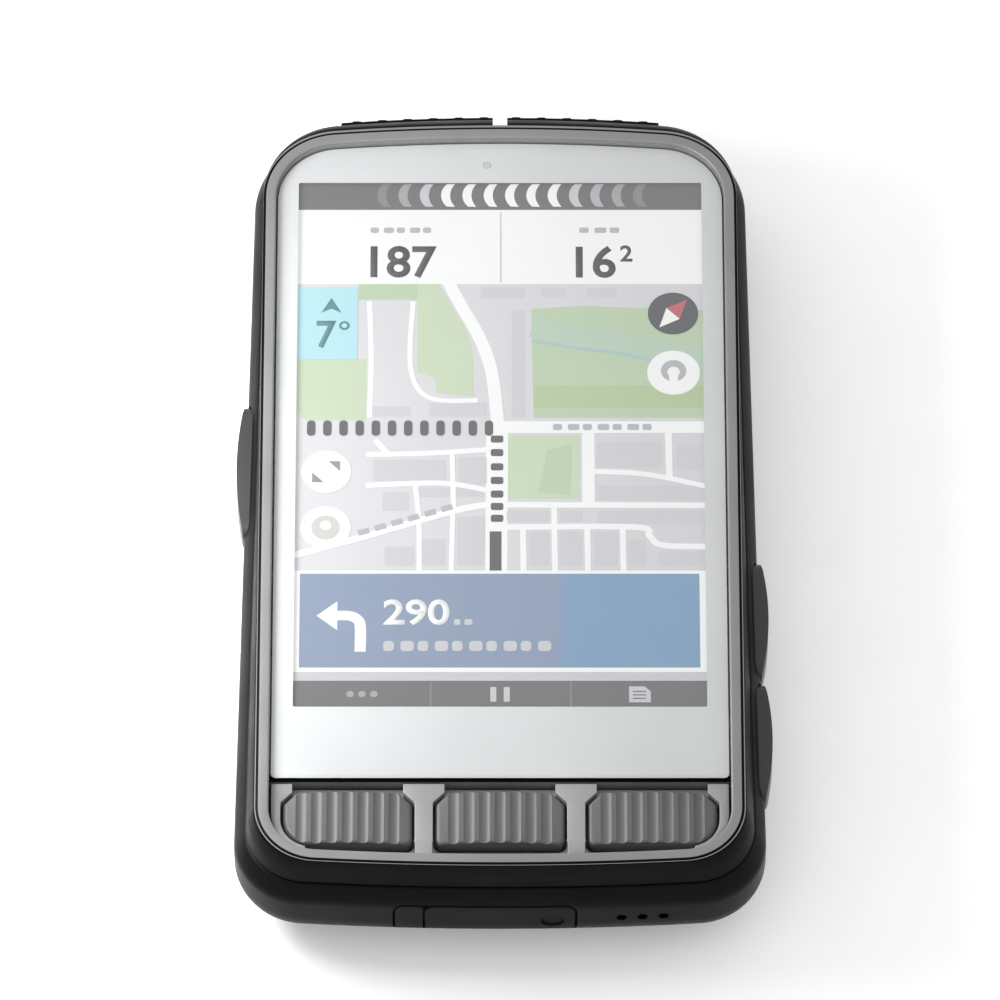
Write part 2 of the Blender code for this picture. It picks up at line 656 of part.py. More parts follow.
def make_usb_fittings():
    """Socket, and the rubber flap that closes it. The flap turns about its left end."""
    socket_x, socket_z = centred(0, 9.0 * MM), centred(SOCKET_Z, 3.3 * MM)
    shell = rectangle(socket_x, socket_z, (1.5 * MM,) * 4, 4)
    socket = prism("usb_socket", shell, (-59.2 * MM, -52.0 * MM), "Y")
    hollow = rectangle(centred(0, 8.3 * MM), centred(SOCKET_Z, 2.6 * MM), (1.2 * MM,) * 4, 4)
    cut(socket, prism("socket_hollow", hollow, (-60.0 * MM, -53.0 * MM), "Y"))
    tongue_y, tongue_z = (-58.6 * MM, -52.5 * MM), centred(SOCKET_Z, 0.7 * MM)
    join(socket, box("socket_tongue", centred(0, 6.7 * MM), tongue_y, tongue_z))
    finish(socket, "steel")

    flap = case_blank("usb_flap")
    plate = rectangle((-FLAP_HALF, FLAP_HALF), FLAP_Z, (1.3 * MM,) * 4)
    keep(flap, prism("flap_plate", plate, (-64 * MM, FLAP_BACK_Y), "Y"))
    plug = rectangle(centred(0, 12.4 * MM), centred(SOCKET_Z, 4.9 * MM), (1.6 * MM,) * 4)
    join(flap, prism("flap_plug", plug, (-61.6 * MM, -59.7 * MM), "Y"))
    finish(flap, "rubber_black", (-FLAP_HALF, TAIL_Y, SOCKET_Z))

    anchor = case_blank("usb_flap_anchor")
    left = -FLAP_HALF - GAP - ANCHOR_WIDTH
    foot = rectangle((left, left + ANCHOR_WIDTH), FLAP_Z, (0.3 * MM, 0.3 * MM, 1.3 * MM, 1.3 * MM))
    keep(anchor, prism("anchor_foot", foot, (-64 * MM, FLAP_BACK_Y), "Y"))
    finish(anchor, "rubber_black")

    speaker = box("speaker", (11.6 * MM, 23.6 * MM), (-54.4 * MM, -46.0 * MM), (6.2 * MM, 10.6 * MM))
    soften(speaker, 0.6 * MM)
    finish(speaker, "case_black")


# ---------------------------------------------------------------- electronics


def make_electronics():
    half, notch = 27.4 * MM, 24.0 * MM
    tail, nose = -44.0 * MM, 46.0 * MM
    low, high = CASE_SCREW_Y[1] - 3.4 * MM, CASE_SCREW_Y[1] + 3.4 * MM
    right = [(half, tail), (half, low), (notch, low), (notch, high), (half, high), (half, nose)]
    board = prism("main_board", right + [(-x, y) for x, y in right[::-1]], BOARD_Z)
    for i, place in enumerate(BOARD_SCREWS):
        cut(board, prism(f"board_hole_{i}", circle(1.2 * MM, place, 12), (9.0 * MM, 12.0 * MM)))
    finish(board, "board_green")

    # Parts on the main board: middle x, middle y, size x, size y, height, finish
    fitted = {
        "processor_shield": (-8.0, 10.0, 24.0, 28.0, 1.8, "steel"),
        "radio_shield": (13.0, -12.0, 18.0, 16.0, 1.5, "steel"),
        "battery_connector": (-18.0, -26.0, 7.0, 4.5, 1.6, "display_dark"),
    }
    for name, (x, y, wide, long, high, material) in fitted.items():
        x_span, y_span = centred(x * MM, wide * MM), centred(y * MM, long * MM)
        base = BOARD_Z[1] + 0.15 * MM
        part = box(name, x_span, y_span, (base, base + high * MM))
        soften(part, 0.35 * MM)
        finish(part, material)

    x_span, y_span = centred(16.5 * MM, 13.0 * MM), centred(51.6 * MM, 8.2 * MM)
    antenna = box("gnss_antenna", x_span, y_span, (9.4 * MM, 13.4 * MM))
    soften(antenna, 0.5 * MM, 1)
    finish(antenna, "ceramic_beige")

    battery = box("battery", centred(0, 2 * BATTERY_HALF), BATTERY_Y, BATTERY_Z)
    soften(battery, 1.2 * MM, 3)
    finish(battery, "battery_silver")


# ---------------------------------------------------------------- mount insert and screws


def make_mount_insert():
    """Round core with two bayonet tabs on a flange let into the rear case."""
    insert = prism("mount_insert", circle(INSERT_FLANGE, steps=48), (CASE_Z, CASE_Z + 0.8 * MM))
    join(insert, prism("insert_core", circle(INSERT_CORE, steps=48), (0.0, CASE_Z + 0.4 * MM)))
    for start in (65, 245):
        outer = arc((0, 0), INSERT_TAB, start, start + 50, 8)
        inner = arc((0, 0), INSERT_CORE - MM, start + 50, start, 8)
        join(insert, prism(f"insert_tab_{start}", outer + inner, (0.0, INSERT_TAB_THICK)))
    for side in (-1, 1):
        place = (side * INSERT_SCREW_X, 0.0)
        hole = loft(
            f"insert_screw_hole_{side}",
            [
                (circle(2.3 * MM, place), -MM),
                (circle(2.3 * MM, place), 2.0 * MM),
                (circle(1.1 * MM, place), 2.0 * MM),
                (circle(1.1 * MM, place), 5.0 * MM),
            ],
        )
        cut(insert, hole)
    finish(insert, "case_black")


def make_screw(name, place, head_z, tip_z, head_radius, shank_radius=0.75 * MM):
    """A pan-head screw standing along Z, with a six-sided socket in its head."""
    steps = 12
    up = 1 if tip_z > head_z else -1
    depth = 1.4 * MM
    sections = [
        (circle(head_radius - 0.25 * MM, place, steps), head_z),
        (circle(head_radius, place, steps), head_z + up * 0.3 * MM),
        (circle(head_radius, place, steps), head_z + up * depth),
        (circle(shank_radius, place, steps), head_z + up * depth),
        (circle(shank_radius, place, steps), tip_z),
    ]
    screw = loft(name, sections)
    socket = circle(head_radius * 0.5, place, 6)
    span = sorted((head_z - up * MM, head_z + up * 0.8 * MM))
    cut(screw, prism(name + "_socket", socket, span))
    finish(screw, "steel", (*place, head_z))


def make_screws():
    for i, place in enumerate(case_screw_places()):
        make_screw(f"case_screw_{i + 1}", place, 4.4 * MM, 13.2 * MM, 1.9 * MM)
    for i, side in enumerate((-1, 1)):
        place = (side * INSERT_SCREW_X, 0.0)
        make_screw(f"mount_screw_{i + 1}", place, 0.4 * MM, 5.1 * MM, 2.0 * MM)
    for i, place in enumerate(BOARD_SCREWS):
        make_screw(f"board_screw_{i + 1}", place, 12.4 * MM, 6.5 * MM, 1.8 * MM)


def build():
    make_rear_case()
    make_front_frame()
    make_case_seal()
    make_glass()
    make_display()
    make_front_keys()
    for key in SIDE_KEYS:
        make_side_key(*key)
    make_wind_fittings()
    make_usb_fittings()
    make_electronics()
    make_mount_insert()
    make_screws()


build()
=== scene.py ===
"""Looks of the cycling computer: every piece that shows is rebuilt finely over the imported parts.

Lengths are in metres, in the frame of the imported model: +X to the unit's right, +Y towards its nose,
+Z out of the screen. The unit lies on the end face of its mount insert, at z = 0.
"""

import json
from functools import partial
from math import acos, atan2, cos, degrees, hypot, pi, radians, sin, sqrt

import bmesh
import bpy
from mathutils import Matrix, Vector

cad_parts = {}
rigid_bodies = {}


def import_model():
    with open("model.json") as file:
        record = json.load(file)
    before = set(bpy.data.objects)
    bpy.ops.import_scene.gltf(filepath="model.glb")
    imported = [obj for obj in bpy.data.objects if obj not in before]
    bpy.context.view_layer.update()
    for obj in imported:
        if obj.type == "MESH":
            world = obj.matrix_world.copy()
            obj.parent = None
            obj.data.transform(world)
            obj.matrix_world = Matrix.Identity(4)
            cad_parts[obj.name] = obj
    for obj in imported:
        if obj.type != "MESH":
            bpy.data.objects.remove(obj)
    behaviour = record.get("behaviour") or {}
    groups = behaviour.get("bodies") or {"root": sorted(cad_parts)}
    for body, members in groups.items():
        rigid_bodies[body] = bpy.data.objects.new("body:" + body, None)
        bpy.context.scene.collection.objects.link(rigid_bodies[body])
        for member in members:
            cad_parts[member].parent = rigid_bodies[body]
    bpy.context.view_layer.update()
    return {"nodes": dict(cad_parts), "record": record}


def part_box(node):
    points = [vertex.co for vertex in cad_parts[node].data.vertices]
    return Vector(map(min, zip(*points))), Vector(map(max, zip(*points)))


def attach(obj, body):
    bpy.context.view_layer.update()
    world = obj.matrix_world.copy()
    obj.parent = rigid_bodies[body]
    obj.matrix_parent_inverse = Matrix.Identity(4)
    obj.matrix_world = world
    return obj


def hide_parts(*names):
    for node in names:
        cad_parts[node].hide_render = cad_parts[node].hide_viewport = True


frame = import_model()

MM = 0.001
GAP = 0.3 * MM


def mm(*lengths):
    """Lengths given in millimetres, as metres."""
    return tuple(length * MM for length in lengths)



# Outlines: half width, nose, tail, nose corner radius, tail corner radius
BODY = mm(35.7, 62.6, -62.7, 12, 9.5)  # at its widest
RIM = mm(34.3, 62.2, -61.3, 11.5, 8.6)  # where the two casings meet
FACE = mm(32.6, 58.4, -60.4, 10.6, 8.4)  # outer edge of the flat front
NOSE_CROWN = 280 * MM
TAIL_CROWN = 420 * MM
TAPER = 0.055
CORNER_STEPS = 18
CROWN_STEPS = 16

# Casings
CASE_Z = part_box("rear_case")[0].z
RIM_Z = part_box("rear_case")[1].z
CASE_EDGE = 6 * MM
CASE_WIDE_Z = 12.8 * MM
CASE_WALL = 3.4 * MM
FRAME_Z = RIM_Z + GAP
LIP_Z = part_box("front_frame")[1].z
POCKET_INSET = 1.8 * MM
LEDGE_Z = 18.5 * MM
BOSS_JOINT_Z = 10.2 * MM
CASE_SCREW_X = 27.3 * MM
CASE_SCREWS = [(side * CASE_SCREW_X, y * MM) for y in (50.0, 22.0, -50.0) for side in (-1, 1)]
BOARD_SCREWS = [(x * MM, y * MM) for x in (-22.0, 22.0) for y in (-40.5, 42.5)]

# Glass, display and front keys
GLASS_INSET = 1.92 * MM
GLASS_LOW, GLASS_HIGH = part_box("cover_glass")
WINDOW_HALF = 27.75 * MM
WINDOW_Y = mm(-35.05, 49.85)
PANEL_LOW, PANEL_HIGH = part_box("display_panel")
SENSOR_XY = mm(-1.8, 52.8)
KEY_PITCH = 20.3 * MM
KEY_WIDTH = 17.2 * MM
KEY_Y = mm(-56.3, -48.1)
KEY_TOP = 19 * MM
KEY_CROWN = 0.6 * MM  # how far a key's top falls from its middle to its sides
TRAY_INSET = 2.1 * MM
TRAY_NOSE_Y = -46.9 * MM
TRAY_Z = mm(16.3, 18.6)
TRAY_FLOOR_Z = 17 * MM

# Side keys: side of the body (-1 left, 1 right), middle along Y, length
SIDE_KEYS = {
    "power_button": (-1, 6.3 * MM, 21.6 * MM),
    "up_button": (1, -17.5 * MM, 18.6 * MM),
    "down_button": (1, -36.8 * MM, 18.6 * MM),
}
SIDE_KEY_Z = 11.4 * MM
SIDE_KEY_HEIGHT = 4.6 * MM
SIDE_KEY_PROUD = 1.3 * MM

# Nose and tail fittings
GRILLE_HALF = 22 * MM
GRILLE_Z = (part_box("wind_port_cover")[0].z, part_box("wind_port_cover")[1].z)
GRILLE_FACE_Y = 62.3 * MM
GRILLE_THICK = 0.7 * MM
PORT_X = mm(-1, 1)
FLAP_HALF = 10 * MM
FLAP_Z = mm(6.3, 12.7)
FLAP_BACK_Y = -61.1 * MM
ANCHOR_WIDTH = 3.7 * MM
SOCKET_Z = 9.5 * MM
SPEAKER_HOLES = [(x * MM, 9.8 * MM) for x in (16.2, 19.0, 21.8)]

# Quarter-turn insert
INSERT_CORE = 12.5 * MM
INSERT_TAB = 15.5 * MM
INSERT_TAB_THICK = 1.3 * MM
INSERT_FLANGE = 16.7 * MM
INSERT_SCREW_X = 7.5 * MM

PAST_TAIL = -64 * MM  # where the tail's cutters start

NODE_BODY = {n: b for b, members in frame["record"]["behaviour"]["bodies"].items() for n in members}

scene = bpy.context.scene
scene.view_settings.view_transform = "Standard"


# ---- materials


def srgb(red, green, blue):
    """Linear colour of an sRGB one given from 0 to 255."""
    channels = [c / 255 for c in (red, green, blue)]
    return tuple(c / 12.92 if c <= 0.04045 else ((c + 0.055) / 1.055) ** 2.4 for c in channels)


FINISH = {}
PATCH = 14 * MM  # size of the broad patches in a finish
NOISE_SPAN = (0.45, 0.90)  # where the summed noise runs from low to high


def wire(tree, node, inputs):
    """Sets a node's inputs, each given as a value or as another node's output."""
    for socket, given in inputs.items():
        if isinstance(given, bpy.types.NodeSocket):
            tree.links.new(given, node.inputs[socket])
        else:
            node.inputs[socket].default_value = given


def add_node(tree, kind, inputs, output=0):
    """Adds a shader node and returns one of its outputs."""
    node = tree.nodes.new("ShaderNode" + kind)
    wire(tree, node, inputs)
    return node.outputs[output]


def surface(
    name, colour, roughness, metallic=0.0, specular=0.5, grain=0.4 * MM, relief=0.01 * MM, mottle=0.08,
    stretch=(1.0, 1.0, 1.0), glow=0.0, scuff=0.0,
):
    """Adds a procedural finish. grain is the size of its texture and relief that texture's depth, mottle
    and scuff are how much broad patches change its colour and roughness, and glow is emission."""
    material = FINISH[name] = bpy.data.materials.new(name)
    material.use_nodes = True
    tree = material.node_tree
    place = add_node(tree, "TexCoord", {}, "Object")
    spot = add_node(tree, "Mapping", {"Vector": place, "Scale": stretch})
    texture = {"Vector": spot, "Scale": 1 / grain, "Detail": 4.0, "Roughness": 0.6}
    fine = add_node(tree, "TexNoise", texture)
    broad = add_node(tree, "TexNoise", {"Vector": spot, "Scale": 1 / PATCH, "Detail": 5.0})
    both = add_node(tree, "Math", {})
    both.node.operation = "MULTIPLY_ADD"
    wire(tree, both.node, {0: fine, 1: 0.35, 2: broad})

    tint = add_node(tree, "ValToRGB", {"Fac": both})
    low, high = tint.node.color_ramp.elements
    low.position, high.position = NOISE_SPAN
    low.color = (*[c * (1 - mottle) for c in colour], 1.0)
    high.color = (*[min(1.0, c * (1 + mottle)) for c in colour], 1.0)
    smooth, rough = roughness * (1 - 0.10 - scuff), min(1.0, roughness * (1 + 0.10 + scuff))
    worn = {"From Min": NOISE_SPAN[0], "From Max": NOISE_SPAN[1], "To Min": smooth, "To Max": rough}
    wear = add_node(tree, "MapRange", {"Value": both, **worn})
    bump = add_node(tree, "Bump", {"Height": fine, "Strength": 0.6, "Distance": relief})
    looks = {"Base Color": tint, "Roughness": wear, "Normal": bump}
    looks.update({"Metallic": metallic, "Specular IOR Level": specular})
    if glow:
        looks.update({"Emission Color": tint, "Emission Strength": glow})
    wire(tree, tree.nodes["Principled BSDF"], looks)
    return material


def clear_glass(name):
    """Adds clear glass that shows its surface by its reflection, with a faint wipe pattern."""
    material = FINISH[name] = bpy.data.materials.new(name)
    material.use_nodes = True
    tree = material.node_tree
    tree.nodes.clear()
    place = add_node(tree, "TexCoord", {}, "Object")
    noise = add_node(tree, "TexNoise", {"Vector": place, "Scale": 1 / (9 * MM), "Detail": 6.0})
    haze = add_node(tree, "MapRange", {"Value": noise, "To Min": 0.10, "To Max": 0.22})
    bump = add_node(tree, "Bump", {"Height": noise, "Strength": 0.15, "Distance": 0.004 * MM})
    clear = add_node(tree, "BsdfTransparent", {"Color": (0.985, 0.99, 0.99, 1.0)})
    gloss = {"Color": (1.0, 1.0, 1.0, 1.0), "Roughness": haze, "Normal": bump}
    shine = add_node(tree, "BsdfGlossy", gloss)
    edge = add_node(tree, "LayerWeight", {"Blend": 0.07}, "Facing")
    mix = add_node(tree, "MixShader", {"Fac": edge, 1: clear, 2: shine})
    wire(tree, tree.nodes.new("ShaderNodeOutputMaterial"), {"Surface": mix})


surface("case_black", srgb(11, 11, 12), 0.40, specular=0.09, relief=0.02 * MM, scuff=0.12)
surface("side_black", srgb(7, 7, 8), 0.45, specular=0.06, relief=0.015 * MM, scuff=0.1)
surface("frame_grey", srgb(126, 126, 126), 0.45, 0.25, grain=0.2 * MM, relief=0.006 * MM)
surface("key_grey", srgb(84, 84, 85), 0.50, grain=0.25 * MM, relief=0.015 * MM, mottle=0.12)
surface("tray_silver", srgb(148, 148, 149), 0.42, 0.3, grain=0.2 * MM, relief=0.006 * MM)
silver = srgb(200, 200, 201)
surface("border_silver", silver, 0.50, 0.25, grain=0.12 * MM, relief=0.003 * MM, mottle=0.03)
surface("rubber_black", srgb(16, 16, 16), 0.62, specular=0.15, grain=0.3 * MM, relief=0.02 * MM)
surface("side_key", srgb(44, 44, 45), 0.42, specular=0.55, grain=0.3 * MM, relief=0.02 * MM)
surface("sensor_tint", srgb(176, 176, 178), 0.4, grain=0.1 * MM)
surface("display_dark", srgb(90, 94, 98), 0.35, grain=0.3 * MM)
surface("steel", srgb(176, 177, 180), 0.32, 1.0, grain=0.25 * MM, stretch=(1, 8, 1), scuff=0.2)
surface("board_green", srgb(22, 82, 52), 0.45, grain=0.6 * MM, mottle=0.2)
surface("flex_amber", srgb(178, 120, 46), 0.40, grain=0.5 * MM, mottle=0.15)
surface("battery_silver", srgb(190, 191, 193), 0.36, 0.6, grain=1.5 * MM)
surface("ceramic_beige", srgb(196, 184, 156), 0.6, grain=0.4 * MM)
clear_glass("glass")


# ---- outlines


def arc(centre, radius, start, end, steps):
    """Points of an arc, both ends included; angles in degrees."""
    angles = [radians(start + (end - start) * i / steps) for i in range(steps + 1)]
    return [(centre[0] + radius * cos(a), centre[1] + radius * sin(a)) for a in angles]


def circle(radius, centre=(0.0, 0.0), steps=32):
    return arc(centre, radius, 0, 360 - 360 / steps, steps - 1)


def rectangle(x_span, y_span, radii=(0, 0, 0, 0), steps=8):
    """An upright rectangle, counter-clockwise. The corner radii run tail right, nose right,
    nose left, tail left."""
    (x0, x1), (y0, y1) = x_span, y_span
    r = radii
    centres = (
        (x1 - r[0], y0 + r[0]),
        (x1 - r[1], y1 - r[1]),
        (x0 + r[2], y1 - r[2]),
        (x0 + r[3], y0 + r[3]),
    )
    points = []
    for i, centre in enumerate(centres):
        start = -90 + 90 * i
        points += arc(centre, r[i], start, start + 90, steps) if r[i] else [centre]
    return points


def centred(middle, size):
    return (middle - size / 2, middle + size / 2)


def slab(middle, size, radius, steps=8):
    """A rectangle about a middle point, with four equal corners."""
    return rectangle(*map(centred, middle, size), (radius,) * 4, steps)


def shrunk(shape, inset):
    """A rectangle, given by its spans and corner radii, moved in by inset."""
    x_span, y_span, radii = shape
    return rectangle(
        (x_span[0] + inset, x_span[1] - inset),
        (y_span[0] + inset, y_span[1] - inset),
        tuple(max(r - inset, 0.02 * MM) for r in radii),
    )


def crowned_end(inset, half, end_y, corner, crown):
    """One end of the body outline, from its right side to its left, drawn for the nose."""
    half, corner, crown = half - inset, corner - inset, crown - inset
    top = end_y - inset
    crown_y = top - crown
    corner_x = half - corner
    corner_y = crown_y + sqrt((crown - corner) ** 2 - corner_x**2)
    lean = degrees(atan2(corner_y - crown_y, corner_x))
    right = arc((corner_x, corner_y), corner, 0, lean, CORNER_STEPS)
    bow = arc((0, crown_y), crown, lean, 180 - lean, CROWN_STEPS)
    left = arc((-corner_x, corner_y), corner, 180 - lean, 180, CORNER_STEPS)
    return right + bow[1:-1] + left


def nose_end(shape, inset):
    half, nose_y, _, corner, _ = shape
    return crowned_end(inset, half, nose_y, corner, NOSE_CROWN)


def tail_end(shape, inset):
    half, _, tail_y, _, corner = shape
    return [(-x, -y) for x, y in crowned_end(inset, half, -tail_y, corner, TAIL_CROWN)]


def tapering(y):
    """Share of its tail width that the body keeps at this y."""
    return 1 - TAPER * (y - BODY[2]) / (BODY[1] - BODY[2])


def body_outline(inset, shape=BODY):
    return [(x * tapering(y), y) for x, y in nose_end(shape, inset) + tail_end(shape, inset)]


def face_outline(inset):
    return nose_end(FACE, inset) + tail_end(FACE, inset)


def between(first, second, share):
    """The outline that lies this share of the way from one outline to another."""
    pairs = zip(first, second)
    return [(a[0] + (b[0] - a[0]) * share, a[1] + (b[1] - a[1]) * share) for a, b in pairs]


def window_outline(inset, tail_y, corner):
    """The face outline cut straight across at tail_y, keeping the nose."""
    side = FACE[0] - inset
    left = arc((-side + corner, tail_y + corner), corner, 180, 270, 6)
    right = arc((side - corner, tail_y + corner), corner, 270, 360, 6)
    return nose_end(FACE, inset) + left + right


def tray_outline(inset, nose_y):
    """The face outline cut straight across at nose_y, keeping the tail."""
    side, corner = FACE[0] - inset, 0.3 * MM
    right = arc((side - corner, nose_y - corner), corner, 0, 90, 4)
    left = arc((-side + corner, nose_y - corner), corner, 90, 180, 4)
    return tail_end(FACE, inset) + right + left


def nose_band(half, front_y, back_y):
    """A band along the bowed nose edge, as wide as twice half."""
    steps = 40
    places = [half * (1 - 2 * i / steps) for i in range(steps + 1)]
    front = [(x, front_y - x**2 / (2 * NOSE_CROWN)) for x in places]
    back = [(x, back_y - x**2 / (2 * NOSE_CROWN)) for x in places[::-1]]
    return front + back


def key_outline(index, grow=0.0):
    """Front key 0, 1 or 2: chamfered towards the glass, rounded at the body's tail corners."""
    middle = (index - 1) * KEY_PITCH
    chamfer, small, large = 1.8 * MM + grow * 0.6, 1 * MM + grow, 4 * MM + grow
    x0, x1 = middle - KEY_WIDTH / 2 - grow, middle + KEY_WIDTH / 2 + grow
    y0, y1 = KEY_Y[0] - grow, KEY_Y[1] + grow
    tail_right = large if index == 2 else small
    tail_left = large if index == 0 else small
    soft = 0.5 * MM
    reach = soft * 0.42
    right = arc((x1 - tail_right, y0 + tail_right), tail_right, -90, 0, 10)
    right += arc((x1 - soft, y1 - chamfer - reach), soft, 0, 45, 4)
    right += arc((x1 - chamfer - reach, y1 - soft), soft, 45, 90, 4)
    left = arc((x0 + chamfer + reach, y1 - soft), soft, 90, 135, 4)
    left += arc((x0 + soft, y1 - chamfer - reach), soft, 135, 180, 4)
    left += arc((x0 + tail_left, y0 + tail_left), tail_left, 180, 270, 10)
    return right + left


def smooth_path(points, steps=6):
    """A smooth curve through points, for outlines and for sections as well."""

    def passing(a, b, c, d, t):
        """Catmull-Rom interpolation between b and c."""
        square, cube = 2 * a - 5 * b + 4 * c - d, 3 * b - a - 3 * c + d
        return 0.5 * (2 * b + (c - a) * t + square * t**2 + cube * t**3)

    ends = [points[0], *points, points[-1]]
    curve = []
    for i in range(len(points) - 1):
        near = list(zip(*ends[i : i + 4]))
        for k in range(steps):
            curve.append(tuple(passing(*values, k / steps) for values in near))
    return [*curve, tuple(points[-1])]


def ribbon(points, width):
    """Outline of a stroke of this width along a path."""
    left, right = [], []
    for i, (x, y) in enumerate(points):
        before, after = points[max(i - 1, 0)], points[min(i + 1, len(points) - 1)]
        run = (after[0] - before[0], after[1] - before[1])
        length = hypot(*run)
        across = (-run[1] / length * width / 2, run[0] / length * width / 2)
        left.append((x + across[0], y + across[1]))
        right.append((x - across[0], y - across[1]))
    return right + left[::-1]


# ---- solids

WORK = bpy.data.collections.new("work")
scene.collection.children.link(WORK)
OBJECT = bpy.data.collections.new("cycling_computer")
scene.collection.children.link(OBJECT)


ORDERS = {
    "X": lambda u, v, w: (w, u, v),
    "Y": lambda u, v, w: (u, w, v),
    "Z": lambda u, v, w: (u, v, w),
}


def add_loft(bm, sections, axis="Z", closed=False):
    """Adds a solid to bm, through pairs of an outline and its place along the axis. The outlines have
    as many points each. A closed loft runs from its last outline back to its first, as a ring does."""
    order = ORDERS[axis]
    rings = [[bm.verts.new(order(u, v, w)) for u, v in outline] for outline, w in sections]
    pairs = list(zip(rings, rings[1:]))
    if closed:
        pairs.append((rings[-1], rings[0]))
    count = len(rings[0])
    for low, high in pairs:
        for i in range(count):
            j = (i + 1) % count
            bm.faces.new((low[i], low[j], high[j], high[i]))
    if not closed:
        bm.faces.new(rings[0][::-1])
        bm.faces.new(rings[-1])


def loft(name, sections, axis="Z", closed=False):
    bm = bmesh.new()
    add_loft(bm, sections, axis, closed)
    return solid(name, bm)


def solid(name, bm):
    """Ends a bmesh and links it as an object to work on."""
    bmesh.ops.recalc_face_normals(bm, faces=bm.faces)
    mesh = bpy.data.meshes.new(name)
    bm.to_mesh(mesh)
    bm.free()
    made = bpy.data.objects.new("work_" + name, mesh)
    WORK.objects.link(made)
    return made


def prism(name, outline, span, axis="Z"):
    return loft(name, [(outline, span[0]), (outline, span[1])], axis)


def box(name, x_span, y_span, z_span):
    return prism(name, rectangle(x_span, y_span), z_span)


def quarter(steps):
    """Sine and cosine at even steps over a quarter turn."""
    angles = [pi / 2 * i / steps for i in range(steps + 1)]
    return [(sin(a), cos(a)) for a in angles]


def rounded(outline, low, high, low_radius, high_radius, steps=4):
    """Sections of a prism whose end edges are rounded; outline(inset) draws it."""
    turn = quarter(steps)
    sections = [(outline(low_radius * (1 - s)), low + low_radius * (1 - c)) for s, c in turn]
    sections += [(outline(high_radius * (1 - c)), high - high_radius * (1 - s)) for s, c in turn]
    return sections


def turned(name, levels, place=(0.0, 0.0), steps=32):
    """A solid about an upright axis, through pairs of a radius and a height in millimetres."""
    return loft(name, [(circle(radius * MM, place, steps), z * MM) for radius, z in levels])


def boolean(part, other, operation):
    modifier = part.modifiers.new(other.name, "BOOLEAN")
    modifier.operation = operation
    modifier.solver = "EXACT"
    modifier.object = other


def cut(part, cutter):
    boolean(part, cutter, "DIFFERENCE")


def join(part, other):
    boolean(part, other, "UNION")


def keep(part, region):
    boolean(part, region, "INTERSECT")


def soften(part, width, segments=3):
    """Rounds the edges that turn by more than 50 degrees."""
    modifier = part.modifiers.new("edges", "BEVEL")
    modifier.width = width
    modifier.segments = segments
    modifier.limit_method = "ANGLE"
    modifier.angle_limit = radians(50)


def baked(part):
    """The part's mesh with its modifiers applied."""
    bpy.context.view_layer.update()
    graph = bpy.context.evaluated_depsgraph_get()
    return bpy.data.meshes.new_from_object(part.evaluated_get(graph))


def linked(name, mesh, finishes):
    """A new piece of the unit with this mesh; finishes are FINISH names, the first painted everywhere."""
    mesh.name = name
    mesh.materials.clear()
    for finish_name in finishes:
        mesh.materials.append(FINISH[finish_name])
    piece = bpy.data.objects.new(name, mesh)
    OBJECT.objects.link(piece)
    return piece


def finish(part, node, finishes=None, smooth=35):
    """Bakes a part, paints it, and puts it in the place of its CAD node."""
    slot = SLOTS[node]
    mesh = baked(part)
    bpy.data.objects.remove(part)
    piece = linked("fine_" + node, mesh, finishes or [slot])
    mesh.shade_smooth()
    mesh.set_sharp_from_angle(angle=radians(smooth))
    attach(piece, NODE_BODY[node])
    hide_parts(node)
    return piece


def add_piece(name, mesh, finish_name):
    """A flat-sided piece that stands for no CAD node and rides on the unit."""
    piece = linked(name, mesh, [finish_name])
    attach(piece, "unit")


# Slot of each node: steel, unless it is named here
SLOTS = dict.fromkeys(frame["nodes"], "steel")
for names, slot_name in (
    ("rear_case wind_port_cover speaker mount_insert", "case_black"),
    ("front_frame", "frame_grey"),
    ("front_button_left front_button_centre front_button_right", "key_grey"),
    ("button_surround", "tray_silver"),
    ("case_seal glass_bond keypad_membrane power_button up_button down_button", "rubber_black"),
    ("power_boot up_boot down_boot wind_sensor_gasket usb_flap usb_flap_anchor", "rubber_black"),
    ("cover_glass", "glass"),
    ("display_panel light_sensor wind_sensor battery_connector", "display_dark"),
    ("main_board io_board", "board_green"),
    ("display_ribbon", "flex_amber"),
    ("battery", "battery_silver"),
    ("gnss_antenna", "ceramic_beige"),
):
    SLOTS.update(dict.fromkeys(names.split(), slot_name))


# ---- casings


def wall_at(y):
    """Half width of the body's outside at this y."""
    return BODY[0] * tapering(y)


def case_outside():
    """Sections of the rear case's outside, from its underside up to the rim's outer edge."""
    sections = []
    for s, c in quarter(12):
        sections.append((body_outline(CASE_EDGE * (1 - s)), CASE_Z + CASE_EDGE * (1 - c)))
    # The wall bends towards the rim between low and high, over this share of its lean
    wide, rim, share = body_outline(0.0), body_outline(0.0, RIM), 0.24
    low, high = CASE_WIDE_Z - 0.7 * MM, CASE_WIDE_Z + share * (RIM_Z - CASE_WIDE_Z)
    sections.append((wide, low))
    for i in range(1, 7):
        t = i / 6
        height = low * (1 - t) ** 2 + 2 * CASE_WIDE_Z * t * (1 - t) + high * t**2
        sections.append((between(wide, rim, share * t**2), height))
    sections.append((between(wide, rim, 0.94), RIM_Z - 0.14 * MM))
    edge, top = body_outline(0.03 * MM, RIM), body_outline(0.14 * MM, RIM)
    return [*sections, (edge, RIM_Z - 0.05 * MM), (top, RIM_Z)]


def side_key_hole(side, middle_y, length):
    height = SIDE_KEY_HEIGHT + 2 * GAP
    outline = slab((middle_y, SIDE_KEY_Z), (length + 2 * GAP, height), height / 2 * 0.98, 10)
    return prism("key_hole", outline, sorted((side * 31 * MM, side * 38 * MM)), "X")


def grille_pocket(z_span):
    back = GRILLE_FACE_Y - GRILLE_THICK - 0.25 * MM
    return prism("grille_pocket", nose_band(GRILLE_HALF + GAP, back + 5 * MM, back), z_span)


